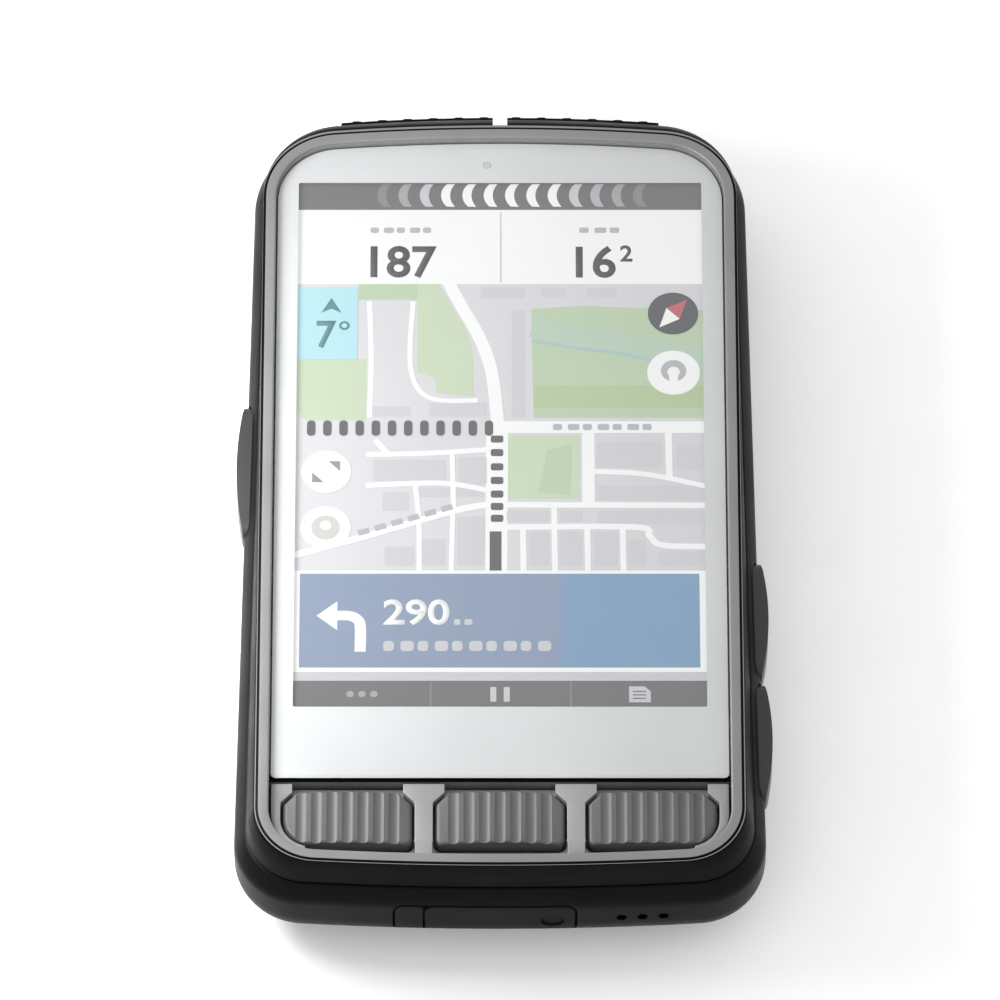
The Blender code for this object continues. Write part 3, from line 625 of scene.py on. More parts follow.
def make_rear_case():
    rim = body_outline(1.4 * MM, RIM)
    sections = [*case_outside(), (rim, RIM_Z), (rim, 14.7 * MM)]
    inside = ((CASE_WALL, 14.7), (CASE_WALL, 8.0), (4.2 * MM, 7.0), (5.6 * MM, 6.4))
    sections += [(body_outline(inset), z * MM) for inset, z in inside]
    sections.append((body_outline(8.2 * MM), CASE_Z + 2.6 * MM))
    case = loft("rear_case", sections)

    for place in CASE_SCREWS:
        join(case, prism("boss", circle(2.8 * MM, place), (4.5 * MM, BOSS_JOINT_Z)))
    for place in BOARD_SCREWS:
        join(case, prism("post", circle(2.4 * MM, place), mm(4.5, 9.7)))
        cut(case, prism("post_hole", circle(1.1 * MM, place, 20), mm(6.2, 11)))
    for place in CASE_SCREWS:
        hole = ((2.35, 2.0), (2.35, 3.0), (2.15, 3.3), (2.15, 6.0), (1.1, 6.0), (1.1, 11.0))
        cut(case, turned("screw_hole", hole, place))
    recess = ((17.2, 2.0), (17.2, 3.0), (17.0, 3.2), (17.0, 4.0))
    cut(case, turned("insert_recess", recess, steps=96))
    for side in (-1, 1):
        place = (side * INSERT_SCREW_X, 0.0)
        cut(case, prism("insert_thread", circle(1.1 * MM, place), mm(3.5, 5.3)))

    recess_x = (-FLAP_HALF - ANCHOR_WIDTH - 2 * GAP, FLAP_HALF + GAP)
    recess_z = (FLAP_Z[0] - GAP, FLAP_Z[1] + GAP)
    outline = rectangle(recess_x, recess_z, (1.6 * MM,) * 4)
    cut(case, prism("flap_recess", outline, (PAST_TAIL, FLAP_BACK_Y + GAP), "Y"))
    mouth = slab((0, SOCKET_Z), mm(13.6, 5.9), 2 * MM)
    cut(case, prism("socket_mouth", mouth, mm(-62, -57), "Y"))
    for x, z in SPEAKER_HOLES:
        cut(case, prism("speaker_hole", circle(0.7 * MM, (x, z), 24), (PAST_TAIL, -57 * MM), "Y"))
    for key in SIDE_KEYS.values():
        cut(case, side_key_hole(*key))
    cut(case, grille_pocket((GRILLE_Z[0] - GAP, RIM_Z + MM)))
    cut(case, box("wind_port", PORT_X, mm(57, 62), mm(10.6, 12.6)))
    finish(case, "rear_case")


def make_front_frame():
    foot, lip = body_outline(0.2 * MM, RIM), face_outline(0.0)
    leans = ((0.08, 16.6), (0.27, 18.0), (0.5, 19.0), (0.76, 19.85), (0.92, 20.10))
    path = [(0.0, FRAME_Z + 0.12 * MM)] + [(share, z * MM) for share, z in leans]
    sections = [(body_outline(0.32 * MM, RIM), FRAME_Z)]
    sections += [(between(foot, lip, share), z) for share, z in smooth_path(path, 4)]
    for inset, drop in ((0.04, 0.11), (0.20, 0.05), (0.40, 0.012), (0.55, 0.0)):
        sections.append((face_outline(inset * MM), LIP_Z - drop * MM))
    radius = 0.3 * MM
    for s, c in quarter(5):
        inset = POCKET_INSET - radius + radius * s
        sections.append((face_outline(inset), LIP_Z - radius + radius * c))
    sections.append((face_outline(POCKET_INSET), LEDGE_Z))
    body = loft("front_frame", sections)

    join(body, prism("skirt", body_outline(3.95 * MM), mm(12.9, 15.9)))
    cut(body, prism("skirt_inside", body_outline(4.85 * MM), (12 * MM, FRAME_Z)))
    for place in CASE_SCREWS:
        x, y = place
        toward_wall = sorted((x, x / CASE_SCREW_X * (wall_at(y) - 4.2 * MM)))
        boss_z = (BOSS_JOINT_Z + GAP, 14 * MM)
        join(body, prism("frame_boss", circle(2.6 * MM, place), boss_z))
        join(body, box("boss_rib", toward_wall, centred(y, 2.4 * MM), mm(12.95, 13.9)))
        cut(body, prism("boss_hole", circle(0.95 * MM, place, 20), mm(9, 13.5)))

    window = [(PANEL_LOW.x - GAP, PANEL_HIGH.x + GAP), (PANEL_LOW.y - GAP, PANEL_HIGH.y + GAP)]
    cut(body, box("display_window", *window, mm(14.8, 19.5)))
    well = tray_outline(POCKET_INSET + 0.01 * MM, TRAY_NOSE_Y + GAP)
    cut(body, prism("key_well", well, (TRAY_Z[0] - 0.2 * MM, 22 * MM)))
    below = tray_outline(TRAY_INSET + 0.2 * MM, TRAY_NOSE_Y + 0.29 * MM)
    cut(body, prism("key_well_below", below, (14.8 * MM, TRAY_Z[0])))
    sensor_x, sensor_y = centred(SENSOR_XY[0], 3.4 * MM), centred(SENSOR_XY[1], 2.4 * MM)
    cut(body, box("sensor_well", sensor_x, sensor_y, mm(16.2, 19.2)))
    for side, middle_y, length in SIDE_KEYS.values():
        wall = wall_at(middle_y)
        x_span = sorted((side * (wall - 6 * MM), side * (wall - 2.5 * MM)))
        y_span = centred(middle_y, length + 3 * MM)
        cut(body, box("skirt_gap", x_span, y_span, (12 * MM, FRAME_Z - 0.05 * MM)))
    cut(body, grille_pocket((FRAME_Z - MM, GRILLE_Z[1] + GAP)))
    cut(body, box("port_notch", PORT_X, (FACE[1] + 0.3 * MM, 66 * MM), mm(16, 22)))
    cut(body, box("wind_sensor_gap", mm(-4, 4), mm(56, 59.6), (12 * MM, FRAME_Z - 0.05 * MM)))

    piece = finish(body, "front_frame", ["side_black", "frame_grey"])
    # The ring's flat top takes the grey finish and its sides the black. The inward walls above the skirt
    # and the wall at the key well's nose also take the grey, as painted light that lightens the shaded
    # gaps around the glass and the keys.
    for face in piece.data.polygons:
        x, y, z = face.center
        inner_wall_painted_light = face.normal.x * x + face.normal.y * y < 0
        well_wall_painted_light = abs(y - TRAY_NOSE_Y - GAP) < 0.1 * MM
        on_ring = face.normal.z > 0.9 and z > LIP_Z - 0.01 * MM
        face.material_index = 1 if on_ring or (z > 16.2 * MM and (inner_wall_painted_light or well_wall_painted_light)) else 0


def make_seal():
    profile = ((1.55, 14.85), (1.55, 15.35), (2.05, 15.35), (2.05, 14.85))
    sections = [(body_outline(inset * MM, RIM), z * MM) for inset, z in profile]
    finish(loft("case_seal", sections, closed=True), "case_seal")


# ---- glass and display


def make_glass():
    def outline(inset):
        return window_outline(GLASS_INSET + inset, GLASS_LOW.y + inset, 0.7 * MM - inset)

    pane = loft("glass", rounded(outline, GLASS_LOW.z, GLASS_HIGH.z, 0.05 * MM, 0.18 * MM))
    finish(pane, "cover_glass")

    border_z = (GLASS_LOW.z - 0.12 * MM, GLASS_LOW.z - 0.03 * MM)
    through_z = (border_z[0] - MM, border_z[1] + MM)
    outer = window_outline(GLASS_INSET + 0.12 * MM, GLASS_LOW.y + 0.12 * MM, 0.6 * MM)
    border = prism("border", outer, border_z)
    opening = rectangle((-WINDOW_HALF, WINDOW_HALF), WINDOW_Y, (0.25 * MM,) * 4, 4)
    cut(border, prism("border_window", opening, through_z))
    cut(border, prism("border_dot", circle(0.55 * MM, SENSOR_XY, 24), through_z))
    add_piece("glass_border", baked(border), "border_silver")
    window = prism("sensor_window", circle(0.5 * MM, SENSOR_XY, 24), border_z)
    add_piece("sensor_window", baked(window), "sensor_tint")


# Screen colours, as sRGB from 0 to 255
INKS = {
    "map": (224, 223, 226), "white": (254, 254, 253), "block": (215, 214, 218),
    "pale": (210, 210, 213), "soft_grey": (192, 192, 197), "soft_ink": (158, 158, 162),
    "bar": (126, 126, 127), "bar_light": (150, 150, 151), "bar_mark": (176, 176, 178),
    "ink": (96, 96, 100), "route": (112, 110, 112), "green": (196, 214, 184),
    "green_light": (208, 222, 194), "green_warm": (190, 207, 168), "green_blue": (194, 214, 196),
    "stream": (180, 206, 206), "cyan": (190, 232, 240), "cyan_ink": (104, 148, 158),
    "banner": (150, 164, 188), "banner_light": (138, 168, 198), "compass": (106, 108, 112),
    "red": (204, 116, 124), "beige": (218, 214, 208),
}
SCREEN_ORIGIN_Y = 1.1 * MM
SCREEN_Z = PANEL_HIGH.z
SCREEN_X = (-28.6, 28.6)  # drawn span of the screen, in millimetres
LEVEL = 0.02 * MM  # height between one drawn level and the next
SHEET = 0.004 * MM  # thickness of a drawn shape
STEP = 0.0007 * MM  # rise from one shape of a level to the next, so that overlapping ones stay apart
STEPS = 22  # shapes drawn at a level before its heights repeat
drawing = {}
shapes_at = {}


def next_base(level):
    """Height of the next shape drawn at a level."""
    order = shapes_at.get(level, 0)
    shapes_at[level] = order + 1
    return SCREEN_Z + 0.005 * MM + LEVEL * level + STEP * (order % STEPS)


def paint(ink, outline, level):
    """Draws a closed outline, in millimetres on the screen, in one colour at one level."""
    bm = drawing.setdefault(ink, bmesh.new())
    points = [(x * MM, y * MM + SCREEN_ORIGIN_Y) for x, y in outline]
    base = next_base(level)
    add_loft(bm, [(points, base), (points, base + SHEET)])


def paint_box(ink, x_span, y_span, level, corner=0.0):
    paint(ink, rectangle(x_span, y_span, (corner,) * 4, 4), level)


def paint_line(ink, points, width, level):
    path = smooth_path(points) if len(points) > 2 else points
    paint(ink, ribbon(path, width), level)


def paint_number(ink, text, x_span, y_span, level):
    """Draws digits in the built-in typeface, fitted to a box."""
    curve = bpy.data.curves.new("digits", "FONT")
    curve.body = text
    curve.resolution_u = 5
    curve.offset = 0.022
    holder = bpy.data.objects.new("work_digits", curve)
    WORK.objects.link(holder)
    flat = baked(holder)
    bpy.data.objects.remove(holder)
    letters = bmesh.new()
    letters.from_mesh(flat)
    bmesh.ops.remove_doubles(letters, verts=letters.verts, dist=1e-5)
    lows = [min(v.co[i] for v in letters.verts) for i in (0, 1)]
    highs = [max(v.co[i] for v in letters.verts) for i in (0, 1)]
    spans = (x_span, y_span)
    base = next_base(level)
    for v in letters.verts:
        shares = [(v.co[i] - lows[i]) / (highs[i] - lows[i]) for i in (0, 1)]
        x, y = (spans[i][0] + (spans[i][1] - spans[i][0]) * shares[i] for i in (0, 1))
        v.co = (x * MM, y * MM + SCREEN_ORIGIN_Y, base)
    rims = [edge.verts[:] for edge in letters.edges if edge.is_boundary]
    tops = {v: letters.verts.new(v.co + Vector((0, 0, SHEET))) for v in letters.verts[:]}
    for face in letters.faces[:]:
        letters.faces.new([tops[v] for v in face.verts])
    for a, b in rims:
        letters.faces.new((a, b, tops[b], tops[a]))
    for face in letters.faces:
        face.smooth = True
    bmesh.ops.recalc_face_normals(letters, faces=letters.faces)
    letters.to_mesh(flat)
    letters.free()
    drawing.setdefault(ink, bmesh.new()).from_mesh(flat)


def paint_label(ink, x_span, y, height, pieces, level):
    """A row of blank marks that stands where small words would be."""
    pitch = (x_span[1] - x_span[0]) / pieces
    for i in range(pieces):
        width = pitch * (0.78 if i % 2 else 0.62)
        start = x_span[0] + pitch * i
        paint_box(ink, (start, start + width), centred(y, height), level, height * 0.3)


def draw_status_and_fields():
    paint_box("bar", SCREEN_X, (44.6, 50.6), 0)
    tones = "bar_light bar_mark pale white white white white white white pale soft_grey bar_mark bar_light"
    for i, tone in enumerate(tones.split()):
        x = -16.6 + 2.94 * i
        outer = arc((x + 2.2, 47.0), 2.55, 133, 227, 12)
        inner = arc((x + 3.9, 47.0), 3.00, 219, 141, 12)
        paint(tone, outer + inner, 1)
    paint_box("white", SCREEN_X, (32.3, 44.6), 0)
    paint_box("pale", (0.0, 0.2), (32.6, 44.2), 1)
    paint_label("soft_grey", (-17.8, -8.8), 41.2, 0.9, 5, 1)
    paint_number("ink", "187", (-17.8, -8.7), (33.3, 38.6), 1)
    paint_label("soft_grey", (10.9, 17.2), 41.2, 0.9, 3, 1)
    paint_number("ink", "16", (10.4, 15.9), (33.3, 38.6), 1)
    paint_number("ink", "2", (16.5, 18.2), (36.0, 38.7), 1)


def draw_map():
    # Woods and parks
    park = [(4.3, 28.2), (11.5, 28.7), (28.6, 28.0), (28.6, 10.4), (4.6, 10.4), (4.4, 19.0)]
    paint("green", park, 0)
    band = [(4.4, 25.2), (11.0, 23.6), (18.0, 22.4), (28.6, 19.6)]
    paint_line("green_blue", band, 3.4, 1)
    paint_line("stream", [(4.4, 22.9), (11.0, 21.7), (17.5, 20.6), (28.6, 17.4)], 0.45, 2)
    paint_box("green_warm", (4.6, 28.6), (12.0, 15.6), 1)
    paint("green", [(-19.4, 29.7), (-11.3, 29.7), (-8.9, 29.7), (-8.9, 32.3), (-19.4, 32.3)], 0)
    wood = [(-11.3, 32.3), (-8.4, 32.3), (-6.6, 28.6), (-4.6, 24.6), (-3.7, 21.0), (-3.6, 13.9)]
    paint("green_light", wood + [(-8.6, 14.4), (-8.9, 16.9), (-11.3, 17.8)], 1)
    paint("green_light", [(-28.6, 20.0), (-28.6, 12.6), (-26.4, 9.9), (-18.2, 9.9), (-18.2, 20.0)], 0)
    paint_box("green_light", (0.6, 10.7), (-2.7, 7.5), 1)
    paint("green", [(5.2, -1.6), (9.6, -2.2), (9.8, 6.2), (6.4, 5.0)], 2)

    # Built-up blocks, a shade darker than the ground between them
    blocks = (
        (13.2, 21.9, 2.4, 6.4), (24.0, 28.6, 2.0, 6.0), (13.2, 28.6, -2.9, -0.6),
        (13.2, 28.6, -6.6, -4.6), (0.9, 6.6, -6.4, -4.6), (8.1, 11.0, -6.4, -4.6),
        (3.9, 6.6, -13.4, -8.0), (8.1, 11.0, -13.4, -8.0), (12.7, 15.8, -13.4, -8.0),
        (17.4, 19.6, -13.4, -9.4), (21.4, 28.6, -13.4, -11.2), (-17.2, -7.4, 0.2, 3.6),
        (-5.6, -1.8, -0.4, 4.0), (-15.9, -12.4, -4.6, -1.6), (-11.0, -2.2, -2.4, -0.9),
        (-15.6, -11.6, -13.4, -10.4), (-10.4, -7.4, -13.4, -9.2), (-5.8, -2.0, -13.4, -5.6),
        (-9.6, -1.8, 10.6, 12.8), (-17.4, -12.2, 10.6, 12.2), (1.6, 3.4, 10.4, 28.0),
        (5.6, 9.0, 30.2, 31.6), (11.8, 16.0, 30.2, 31.6), (-2.6, 3.4, 30.0, 31.8),
    )
    for x0, x1, y0, y1 in blocks:
        paint_box("block", (x0, x1), (y0, y1), 1, 0.25)

    # Roads: width, level, then the points they pass through
    main = [(-7.6, 33.8), (-5.5, 29.1), (-3.2, 24.4), (-1.8, 20.6), (-0.9, 16.2), (-0.2, 8.0)]
    roads = (
        (1.75, 2, main),
        (1.9, 2, [(-0.8, 8.85), (28.6, 8.85)]),
        (3.0, 1, [(-0.4, 8.8), (-0.5, -15.4)]),
        (1.7, 2, [(12.0, 8.4), (12.0, -3.8)]),
        (0.9, 2, [(0.4, -3.7), (28.6, -3.8)]),
        (0.8, 2, [(12.2, 1.7), (20.0, 1.2), (28.6, -0.9)]),
        (0.9, 2, [(22.9, 8.0), (23.0, 0.6)]),
        (0.9, 2, [(0.6, -7.3), (18.3, -7.3), (20.2, -8.7), (22.0, -10.2), (28.6, -10.4)]),
        *[(0.8, 2, [(x, -7.3), (x + 0.1, -15.4)]) for x in (3.1, 7.35, 11.8, 16.6)],
        (0.8, 2, [(7.35, -3.8), (7.35, -7.3)]),
        (1.0, 2, [(-28.6, -12.0), (-19.5, -9.2), (-6.3, -4.7), (-1.0, -3.6)]),
        (0.8, 2, [(-18.2, 4.4), (-10.0, 4.6), (-1.6, 5.2)]),
        (0.8, 2, [(-18.2, -0.6), (-8.0, -0.2), (-1.6, -1.4)]),
        (0.7, 2, [(-6.5, 4.6), (-6.3, -4.6)]),
        (0.7, 2, [(-11.5, -0.5), (-11.0, -6.2), (-10.9, -15.4)]),
        (0.8, 2, [(-17.0, 6.8), (-15.2, 4.5)]),
        (0.7, 2, [(-6.4, -4.8), (-6.6, -15.4)]),
        (0.7, 1, [(-17.9, 29.4), (-17.6, 20.0), (-17.8, 10.4)]),
        (0.7, 2, [(-11.9, 29.4), (-12.2, 18.4), (-9.6, 13.6), (-3.0, 13.2)]),
    )
    for width, level, points in roads:
        paint_line("white", points, width, level)

    # Blank marks in the place of road names
    paint_label("soft_grey", (7.2, 21.4), 8.85, 1.0, 7, 3)
    for i in range(6):
        x, y = -19.2 + 2.25 * i, -8.3 + 0.76 * i
        paint_line("soft_grey", [(x, y), (x + 1.5, y + 0.5)], 0.9, 3)

    # Route: dots along the crossing road, dashes up the road ahead, then a solid run
    for i in range(12):
        x = -25.7 + 2.2 * i
        paint_box("route", centred(x, 1.15), centred(8.67, 2.5), 3, 0.55)
    for y in (6.9, 4.7, 2.4, 0.2, -2.0, -4.0, -5.9):
        paint_box("route", centred(-0.4, 1.7), centred(y, 1.15), 3, 0.3)
    paint_box("route", centred(-0.6, 1.6), (-15.4, -8.0), 3)


def draw_map_tools():
    """The small marks that lie over the map."""
    paint_box("cyan", (-28.6, -19.5), (19.9, 31.7), 3)
    paint("cyan_ink", [(-23.1, 30.0), (-21.7, 27.5), (-23.1, 28.2), (-24.5, 27.5)], 4)
    paint_number("cyan_ink", "7", (-25.1, -22.4), (21.7, 26.2), 4)
    paint("cyan_ink", circle(0.75, (-21.3, 25.4), 20), 4)
    paint("cyan", circle(0.38, (-21.3, 25.4), 20), 5)

    x, y = 23.7, 27.4
    paint("compass", circle(3.45, (x, y), 40), 3)
    paint("red", [(x + 1.9, y + 2.3), (x + 0.9, y - 0.9), (x - 0.9, y + 0.9)], 4)
    paint("white", [(x - 1.9, y - 2.3), (x - 0.9, y + 0.9), (x + 0.9, y - 0.9)], 4)
    y = 17.7
    paint("white", circle(3.6, (x, y), 40), 3)
    paint("soft_grey", circle(1.75, (x, y + 0.3), 32), 4)
    paint("white", circle(0.85, (x, y + 0.1), 24), 5)
    paint_box("white", centred(x, 1.2), (y - 1.8, y), 5)

    x, y = -23.6, 1.6
    paint("white", circle(3.4, (x, y), 40), 3)
    for way in (-1, 1):
        tip = (x + way * 1.9, y + way * 1.7)
        paint("soft_ink", [tip, (tip[0] - way * 1.6, tip[1]), (tip[0], tip[1] - way * 1.6)], 4)
    y = -7.4
    paint("white", circle(3.4, (x, y), 40), 3)
    paint("beige", circle(1.95, (x, y), 40), 4)
    paint("white", circle(0.75, (x, y + 0.35), 24), 5)


def draw_banner_and_bar():
    paint_box("white", SCREEN_X, (-31.0, -14.3), 4)
    paint_box("banner", (-27.0, 8.3), (-29.7, -14.8), 5)
    paint_box("banner_light", (8.3, 26.9), (-29.7, -14.8), 5)
    paint_box("pale", SCREEN_X, (-31.8, -30.4), 5)

    # Turn arrow: up the stem and round to the left
    stem = [(-18.8, -27.2), (-18.8, -23.2), (-19.3, -22.0), (-20.4, -21.5), (-22.6, -21.5)]
    paint_line("white", stem, 1.5, 6)
    paint("white", [(-24.7, -21.5), (-21.9, -19.2), (-21.9, -23.8)], 6)
    paint_number("white", "290", (-15.7, -6.8), (-23.0, -18.9), 6)
    paint_label("pale", (-6.2, -3.4), -22.5, 0.9, 2, 6)
    paint_label("pale", (-15.7, 7.4), -26.3, 1.6, 10, 6)

    paint_box("bar", SCREEN_X, (-37.0, -31.8), 6)
    for x in (-9.3, 9.5):
        paint_box("bar_light", (x - 0.1, x + 0.1), (-37.0, -31.9), 7)
    for i in range(3):
        paint("bar_mark", circle(0.5, (-20.1 + 1.6 * i, -33.9), 20), 7)
    for x in (-0.9, 0.9):
        paint_box("pale", centred(x, 0.8), (-35.1, -32.8), 7)
    page = [(17.3, -35.2), (20.2, -35.2), (20.2, -33.5), (19.4, -32.7), (17.3, -32.7)]
    paint("pale", page, 7)
    for i in range(3):
        paint_box("bar", (17.8, 19.6), centred(-33.5 - 0.55 * i, 0.18), 8)


def make_display():
    (x0, y0, low), (x1, y1, high) = PANEL_LOW, PANEL_HIGH
    screen_finish("map")
    shape = ((x0, x1), (y0, y1), (0.3 * MM,) * 4)
    panel = loft("panel", rounded(partial(shrunk, shape), low, high, 0.05 * MM, 0.02 * MM, 2))
    piece = finish(panel, "display_panel", ["display_dark", "screen_map"])
    for face in piece.data.polygons:
        face.material_index = 1 if face.normal.z > 0.9 else 0

    draw_status_and_fields()
    draw_map()
    draw_map_tools()
    draw_banner_and_bar()
    for ink, bm in drawing.items():
        bmesh.ops.recalc_face_normals(bm, faces=bm.faces)
        mesh = bpy.data.meshes.new("screen_" + ink)
        bm.to_mesh(mesh)
        bm.free()
        screen_finish(ink)
        add_piece("screen_" + ink, mesh, "screen_" + ink)


def screen_finish(ink):
    """Adds a lit, slightly reflective colour of the display."""
    colour = [c * 0.30 for c in srgb(*INKS[ink])]
    look = {"specular": 0.2, "grain": 0.15 * MM, "relief": 0.001 * MM, "mottle": 0.015, "glow": 1.80}
    surface("screen_" + ink, colour, 0.6, **look)


# ---- front keys


def make_front_keys():
    def tray_shape(inset):
        return tray_outline(TRAY_INSET + inset, TRAY_NOSE_Y - inset)

    tray = loft("button_surround", rounded(tray_shape, *TRAY_Z, 0.05 * MM, 0.05 * MM, 2))
    for i in range(3):
        cut(tray, prism("key_hole", key_outline(i, 0.35 * MM), mm(15, 20)))
        left, right = centred((i - 1) * KEY_PITCH, KEY_WIDTH)
        upper = (TRAY_FLOOR_Z, 20 * MM)
        nose_strip = (KEY_Y[1] - 0.5 * MM, TRAY_NOSE_Y + MM)
        cut(tray, box("nose_strip", (left + 1.2 * MM, right - 1.2 * MM), nose_strip, upper))
        tail_x = (left + (3.0 if i == 0 else -0.4) * MM, right - (3.0 if i == 2 else -0.4) * MM)
        cut(tray, box("tail_strip", tail_x, (-61 * MM, KEY_Y[0] + 0.5 * MM), upper))
    soften(tray, 0.18 * MM)
    finish(tray, "button_surround")

    for i, name in enumerate(("left", "centre", "right")):
        middle = ((i - 1) * KEY_PITCH, sum(KEY_Y) / 2)
        flange, shoulder_z, radius = key_outline(i, 0.6 * MM), TRAY_Z[0] - GAP, 0.6 * MM
        sections = [(flange, 15.1 * MM), (flange, shoulder_z), (key_outline(i), shoulder_z)]
        for s, c in quarter(6):
            sections.append((key_outline(i, -radius * (1 - c)), KEY_TOP - radius * (1 - s)))
        key = loft("front_button", sections)
        join(key, prism("key_nub", circle(1.5 * MM, middle), mm(14.7, 15.5)))
        cut(key, key_grooves(middle))
        crowned = bmesh.new()
        crowned.from_mesh(baked(key))
        for v in crowned.verts:
            if v.co.z > TRAY_FLOOR_Z:
                v.co.z -= KEY_CROWN * ((v.co.x - middle[0]) / (KEY_WIDTH / 2)) ** 2
        finish(solid("crowned_key", crowned), f"front_button_{name}")


def key_grooves(middle):
    """Shallow round-bottomed grooves that leave ribs on a front key, as one cutter."""
    pitch, radius, lift, above = 2.06 * MM, 1.2 * MM, 0.95 * MM, 0.1 * MM
    reach = degrees(acos((lift - above) / radius))
    outline = []
    for k in range(-3, 4):
        centre = (middle[0] + k * pitch, KEY_TOP + lift)
        outline += arc(centre, radius, 270 - reach, 270 + reach, 10)
    outline += [(outline[-1][0], KEY_TOP + MM), (outline[0][0], KEY_TOP + MM)]
    return prism("grooves", outline, (KEY_Y[0] - MM, KEY_Y[1] + MM), "Y")


# ---- side keys


def make_side_key(name, side, middle_y, length):
    wall = wall_at(middle_y)

    def reach(near, far):
        return sorted((side * (wall - near), side * (wall - far)))

    middle = (middle_y, SIDE_KEY_Z)
    cap = slab(middle, (length, SIDE_KEY_HEIGHT), SIDE_KEY_HEIGHT / 2 * 0.98, 12)
    key = prism(name, cap, reach(4.1 * MM, -3 * MM), "X")
    steps = 32
    low, bulge = 0.25 * MM, SIDE_KEY_PROUD - 0.25 * MM
    lens = [(side * (wall - 6 * MM), end) for end in centred(middle_y, length + 2 * MM)]
    for i in range(steps + 1):
        along = 1 - 2 * i / steps
        x = wall + low + bulge * (1 - along**2)
        lens.append((side * x, middle_y + along * (length / 2 + 0.01 * MM)))
    keep(key, prism("lens", lens, mm(8, 15)))
    soften(key, 0.45 * MM, 5)
    flange = slab(middle, (length + 0.2 * MM, 5.8 * MM), 1.5 * MM)
    join(key, prism("flange", flange, reach(4.9 * MM, 4 * MM), "X"))
    join(key, prism("nub", circle(1.2 * MM, middle), reach(5.7 * MM, 4.8 * MM), "X"))
    finish(key, name, ["side_key"])


# ---- nose and tail fittings


def make_grille():
    outline = nose_band(GRILLE_HALF, GRILLE_FACE_Y, GRILLE_FACE_Y - GRILLE_THICK)
    grille = prism("grille", outline, GRILLE_Z)
    pitch = (GRILLE_HALF - 2.6 * MM) / 5.5
    for side in (-1, 1):
        for i in range(6):
            x = side * (2.2 * MM + pitch * i)
            front = GRILLE_FACE_Y - x**2 / (2 * NOSE_CROWN) + 0.4 * MM
            rib = (centred(x, 1.6 * MM), (front - 0.95 * MM, front), (0.45 * MM,) * 4)
            z_span = (GRILLE_Z[0] + 0.2 * MM, GRILLE_Z[1] - 0.2 * MM)
            join(grille, loft("rib", rounded(partial(shrunk, rib), *z_span, 0.25 * MM, 0.25 * MM, 4)))
    cut(grille, box("grille_slot", PORT_X, mm(60, 66), mm(10.6, 19)))
    finish(grille, "wind_port_cover", ["case_black"])


def make_usb_fittings():
    shell = slab((0, SOCKET_Z), mm(9, 3.3), 1.5 * MM, 10)
    socket = prism("usb_socket", shell, mm(-59.2, -52), "Y")
    hollow = slab((0, SOCKET_Z), mm(8.3, 2.6), 1.2 * MM, 10)
    cut(socket, prism("hollow", hollow, mm(-60, -53), "Y"))
    soften(socket, 0.08 * MM, 2)
    tongue_z = centred(SOCKET_Z, 0.7 * MM)
    join(socket, box("tongue", mm(-3.35, 3.35), mm(-58.6, -52.5), tongue_z))
    finish(socket, "usb_socket")

    flap = loft("usb_flap", case_outside())
    plate = rectangle((-FLAP_HALF, FLAP_HALF), FLAP_Z, (1.3 * MM,) * 4, 10)
    keep(flap, prism("plate", plate, (PAST_TAIL, FLAP_BACK_Y), "Y"))
    soften(flap, 0.2 * MM)
    plug = slab((0, SOCKET_Z), mm(12.4, 4.9), 1.6 * MM)
    join(flap, prism("plug", plug, mm(-61.6, -59.7), "Y"))
    dimple = circle(1.6 * MM, (7 * MM, SOCKET_Z), 40)
    cut(flap, prism("dimple", dimple, (PAST_TAIL, -62.3 * MM), "Y"))
    finish(flap, "usb_flap")

    anchor = loft("usb_flap_anchor", case_outside())
    left = -FLAP_HALF - GAP - ANCHOR_WIDTH
    radii = mm(0.3, 0.3, 1.3, 1.3)
    foot = rectangle((left, left + ANCHOR_WIDTH), FLAP_Z, radii)
    keep(anchor, prism("foot", foot, (PAST_TAIL, FLAP_BACK_Y), "Y"))
    soften(anchor, 0.2 * MM)
    finish(anchor, "usb_flap_anchor")


# ---- mount insert and screws


def make_mount_insert():
    def disc(radius):
        return lambda inset: circle(radius - inset, steps=96)

    flange_z = (CASE_Z, CASE_Z + 0.8 * MM)
    insert = loft("insert", rounded(disc(INSERT_FLANGE), *flange_z, 0.15 * MM, 0.05 * MM, 3))
    core_z = (0.0, CASE_Z + 0.4 * MM)
    join(insert, loft("core", rounded(disc(INSERT_CORE), *core_z, 0.3 * MM, 0.05 * MM, 4)))
    for start in (65, 245):

        def tab(inset, start=start):
            trim = degrees(inset / INSERT_TAB)
            outer = arc((0, 0), INSERT_TAB - inset, start + trim, start + 50 - trim, 24)
            inner = arc((0, 0), INSERT_CORE - MM, start + 50 - trim, start + trim, 24)
            return outer + inner

        tab_z = (0.0, INSERT_TAB_THICK)
        join(insert, loft("tab", rounded(tab, *tab_z, 0.25 * MM, 0.25 * MM, 4)))
    groove = turned("ring", ((9.9, -1), (9.9, 0.25)), steps=96)
    cut(groove, turned("ring_core", ((9.3, -2), (9.3, 2)), steps=96))
    cut(insert, groove)
    for side in (-1, 1):
        place = (side * INSERT_SCREW_X, 0.0)
        hole = ((2.5, -1), (2.5, 0.0), (2.3, 0.2), (2.3, 2.0), (1.1, 2.0), (1.1, 5.0))
        cut(insert, turned("screw_hole", hole, place))
    finish(insert, "mount_insert")


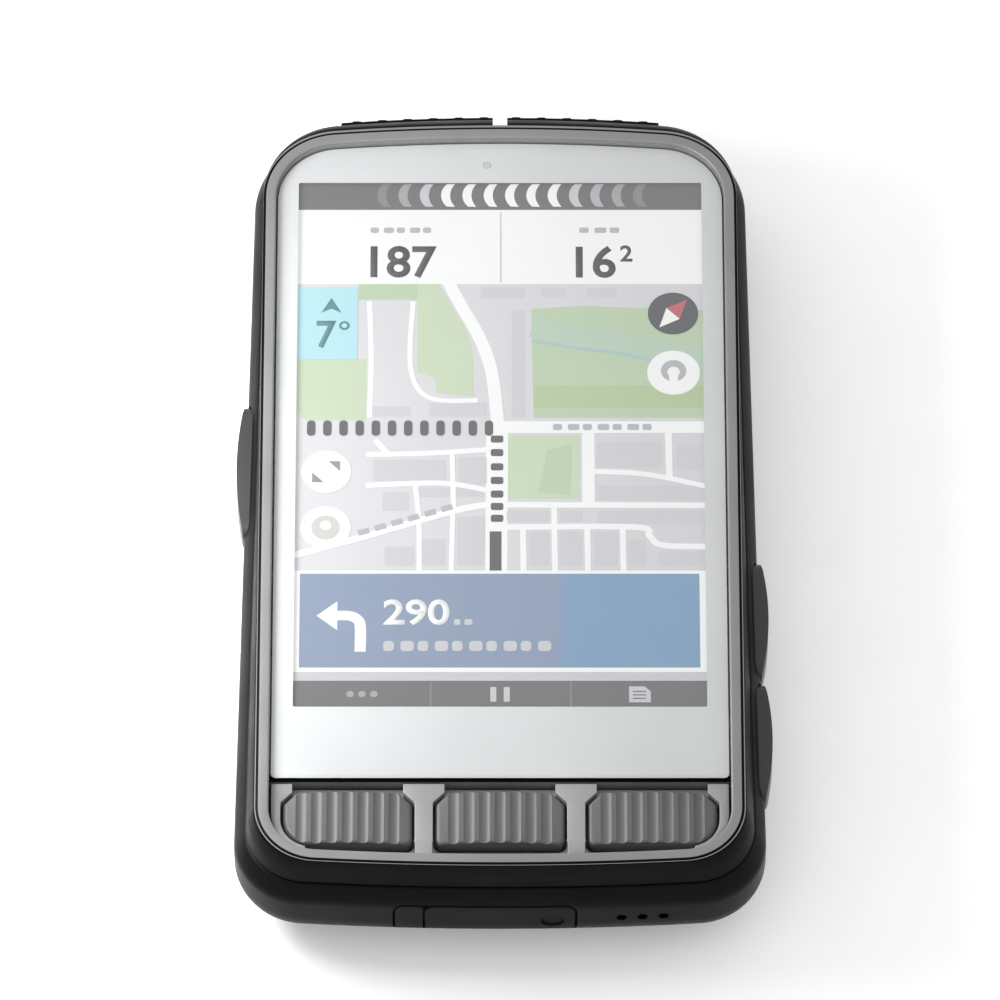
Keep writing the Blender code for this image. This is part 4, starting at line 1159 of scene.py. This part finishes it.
def make_screw(node):
    """A pan-head screw rebuilt inside its CAD box, its head at the lower end."""
    low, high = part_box(node)
    place = ((low.x + high.x) / 2, (low.y + high.y) / 2)
    head, crest, root = (high.x - low.x) / 2, 0.75 * MM, 0.62 * MM
    edge, pitch = 0.35 * MM, 0.4 * MM
    z = low.z + 1.4 * MM
    sections = [(head - edge * (1 - s), low.z + edge * (1 - c)) for s, c in quarter(4)]
    sections += [(head, z), (crest, z)]
    while z + pitch < high.z - 0.2 * MM:
        sections += [(root, z + pitch / 2), (crest, z + pitch)]
        z += pitch
    sections.append((0.45 * MM, high.z))
    screw = loft(node, [(circle(radius, place, 36), height) for radius, height in sections])
    cut(screw, prism("hex", circle(head * 0.5, place, 6), (low.z - MM, low.z + 0.8 * MM)))
    finish(screw, node, smooth=40)


def build():
    make_rear_case()
    make_front_frame()
    make_seal()
    make_glass()
    make_display()
    make_front_keys()
    for name, key in SIDE_KEYS.items():
        make_side_key(name, *key)
    make_grille()
    make_usb_fittings()
    make_mount_insert()
    for i in range(6):
        make_screw(f"case_screw_{i + 1}")
    for i in range(2):
        make_screw(f"mount_screw_{i + 1}")
    for leftover in list(WORK.objects):
        bpy.data.objects.remove(leftover)
    bpy.data.collections.remove(WORK)
    for node, part in frame["nodes"].items():
        if not part.hide_render:
            for slot in part.material_slots:
                slot.link = "OBJECT"
                slot.material = FINISH[SLOTS[node]]


# ---- stage, light and camera


def make_stage():
    bm = bmesh.new()
    outline = circle(3.0, steps=64)
    bm.faces.new([bm.verts.new((x, y, 0.0)) for x, y in outline])
    mesh = bpy.data.meshes.new("floor")
    bm.to_mesh(mesh)
    bm.free()
    look = {"specular": 0.1, "grain": 6 * MM, "relief": 0.05 * MM, "mottle": 0.01, "glow": 0.15}
    mesh.materials.append(surface("floor", srgb(252, 252, 252), 0.9, **look))
    floor = bpy.data.objects.new("floor", mesh)
    floor.location.z = -0.02 * MM
    scene.collection.objects.link(floor)

    world = bpy.data.worlds.new("studio")
    world.use_nodes = True
    background = world.node_tree.nodes["Background"]
    background.inputs["Color"].default_value = (1.0, 1.0, 1.0, 1.0)
    background.inputs["Strength"].default_value = 0.84
    scene.world = world


def add_light(name, place, aim, size, power):
    light = bpy.data.lights.new(name, "AREA")
    light.shape = "RECTANGLE"
    light.size, light.size_y = size
    light.energy = power
    lamp = bpy.data.objects.new(name, light)
    lamp.location = place
    direction = Vector(aim) - Vector(place)
    lamp.rotation_euler = direction.to_track_quat("-Z", "Y").to_euler()
    scene.collection.objects.link(lamp)
    return lamp


def spare_the_glass(lamp):
    """Keeps a lamp out of the cover glass, as a polarising filter would, so that it leaves no glare."""
    spared = bpy.data.collections.new("spared_by_" + lamp.name)
    spared.objects.link(bpy.data.objects["fine_cover_glass"])
    lamp.light_linking.receiver_collection = spared
    spared.collection_objects[0].light_linking.link_state = "EXCLUDE"


def make_lights_and_camera():
    key = add_light("key_light", (-0.085, 0.0, 0.075), (0.0, 0.0, 0.018), (0.10, 0.05), 0.19)
    spare_the_glass(key)
    add_light("side_light", (0.60, 0.10, 0.30), (0.0, 0.0, 0.015), (0.3, 0.5), 0.35)

    elevation, distance = radians(57.3), 1.5
    data = bpy.data.cameras.new("camera")
    data.lens = 399.0
    data.sensor_width = 36.0
    data.clip_start, data.clip_end = 0.01, 20.0
    camera = bpy.data.objects.new("camera", data)
    target = Vector(mm(0, -2.9, 20.1))
    camera.location = target + distance * Vector((0.0, -cos(elevation), sin(elevation)))
    camera.rotation_euler = (pi / 2 - elevation, 0.0, 0.0)
    scene.collection.objects.link(camera)
    scene.camera = camera


build()
make_stage()
make_lights_and_camera()
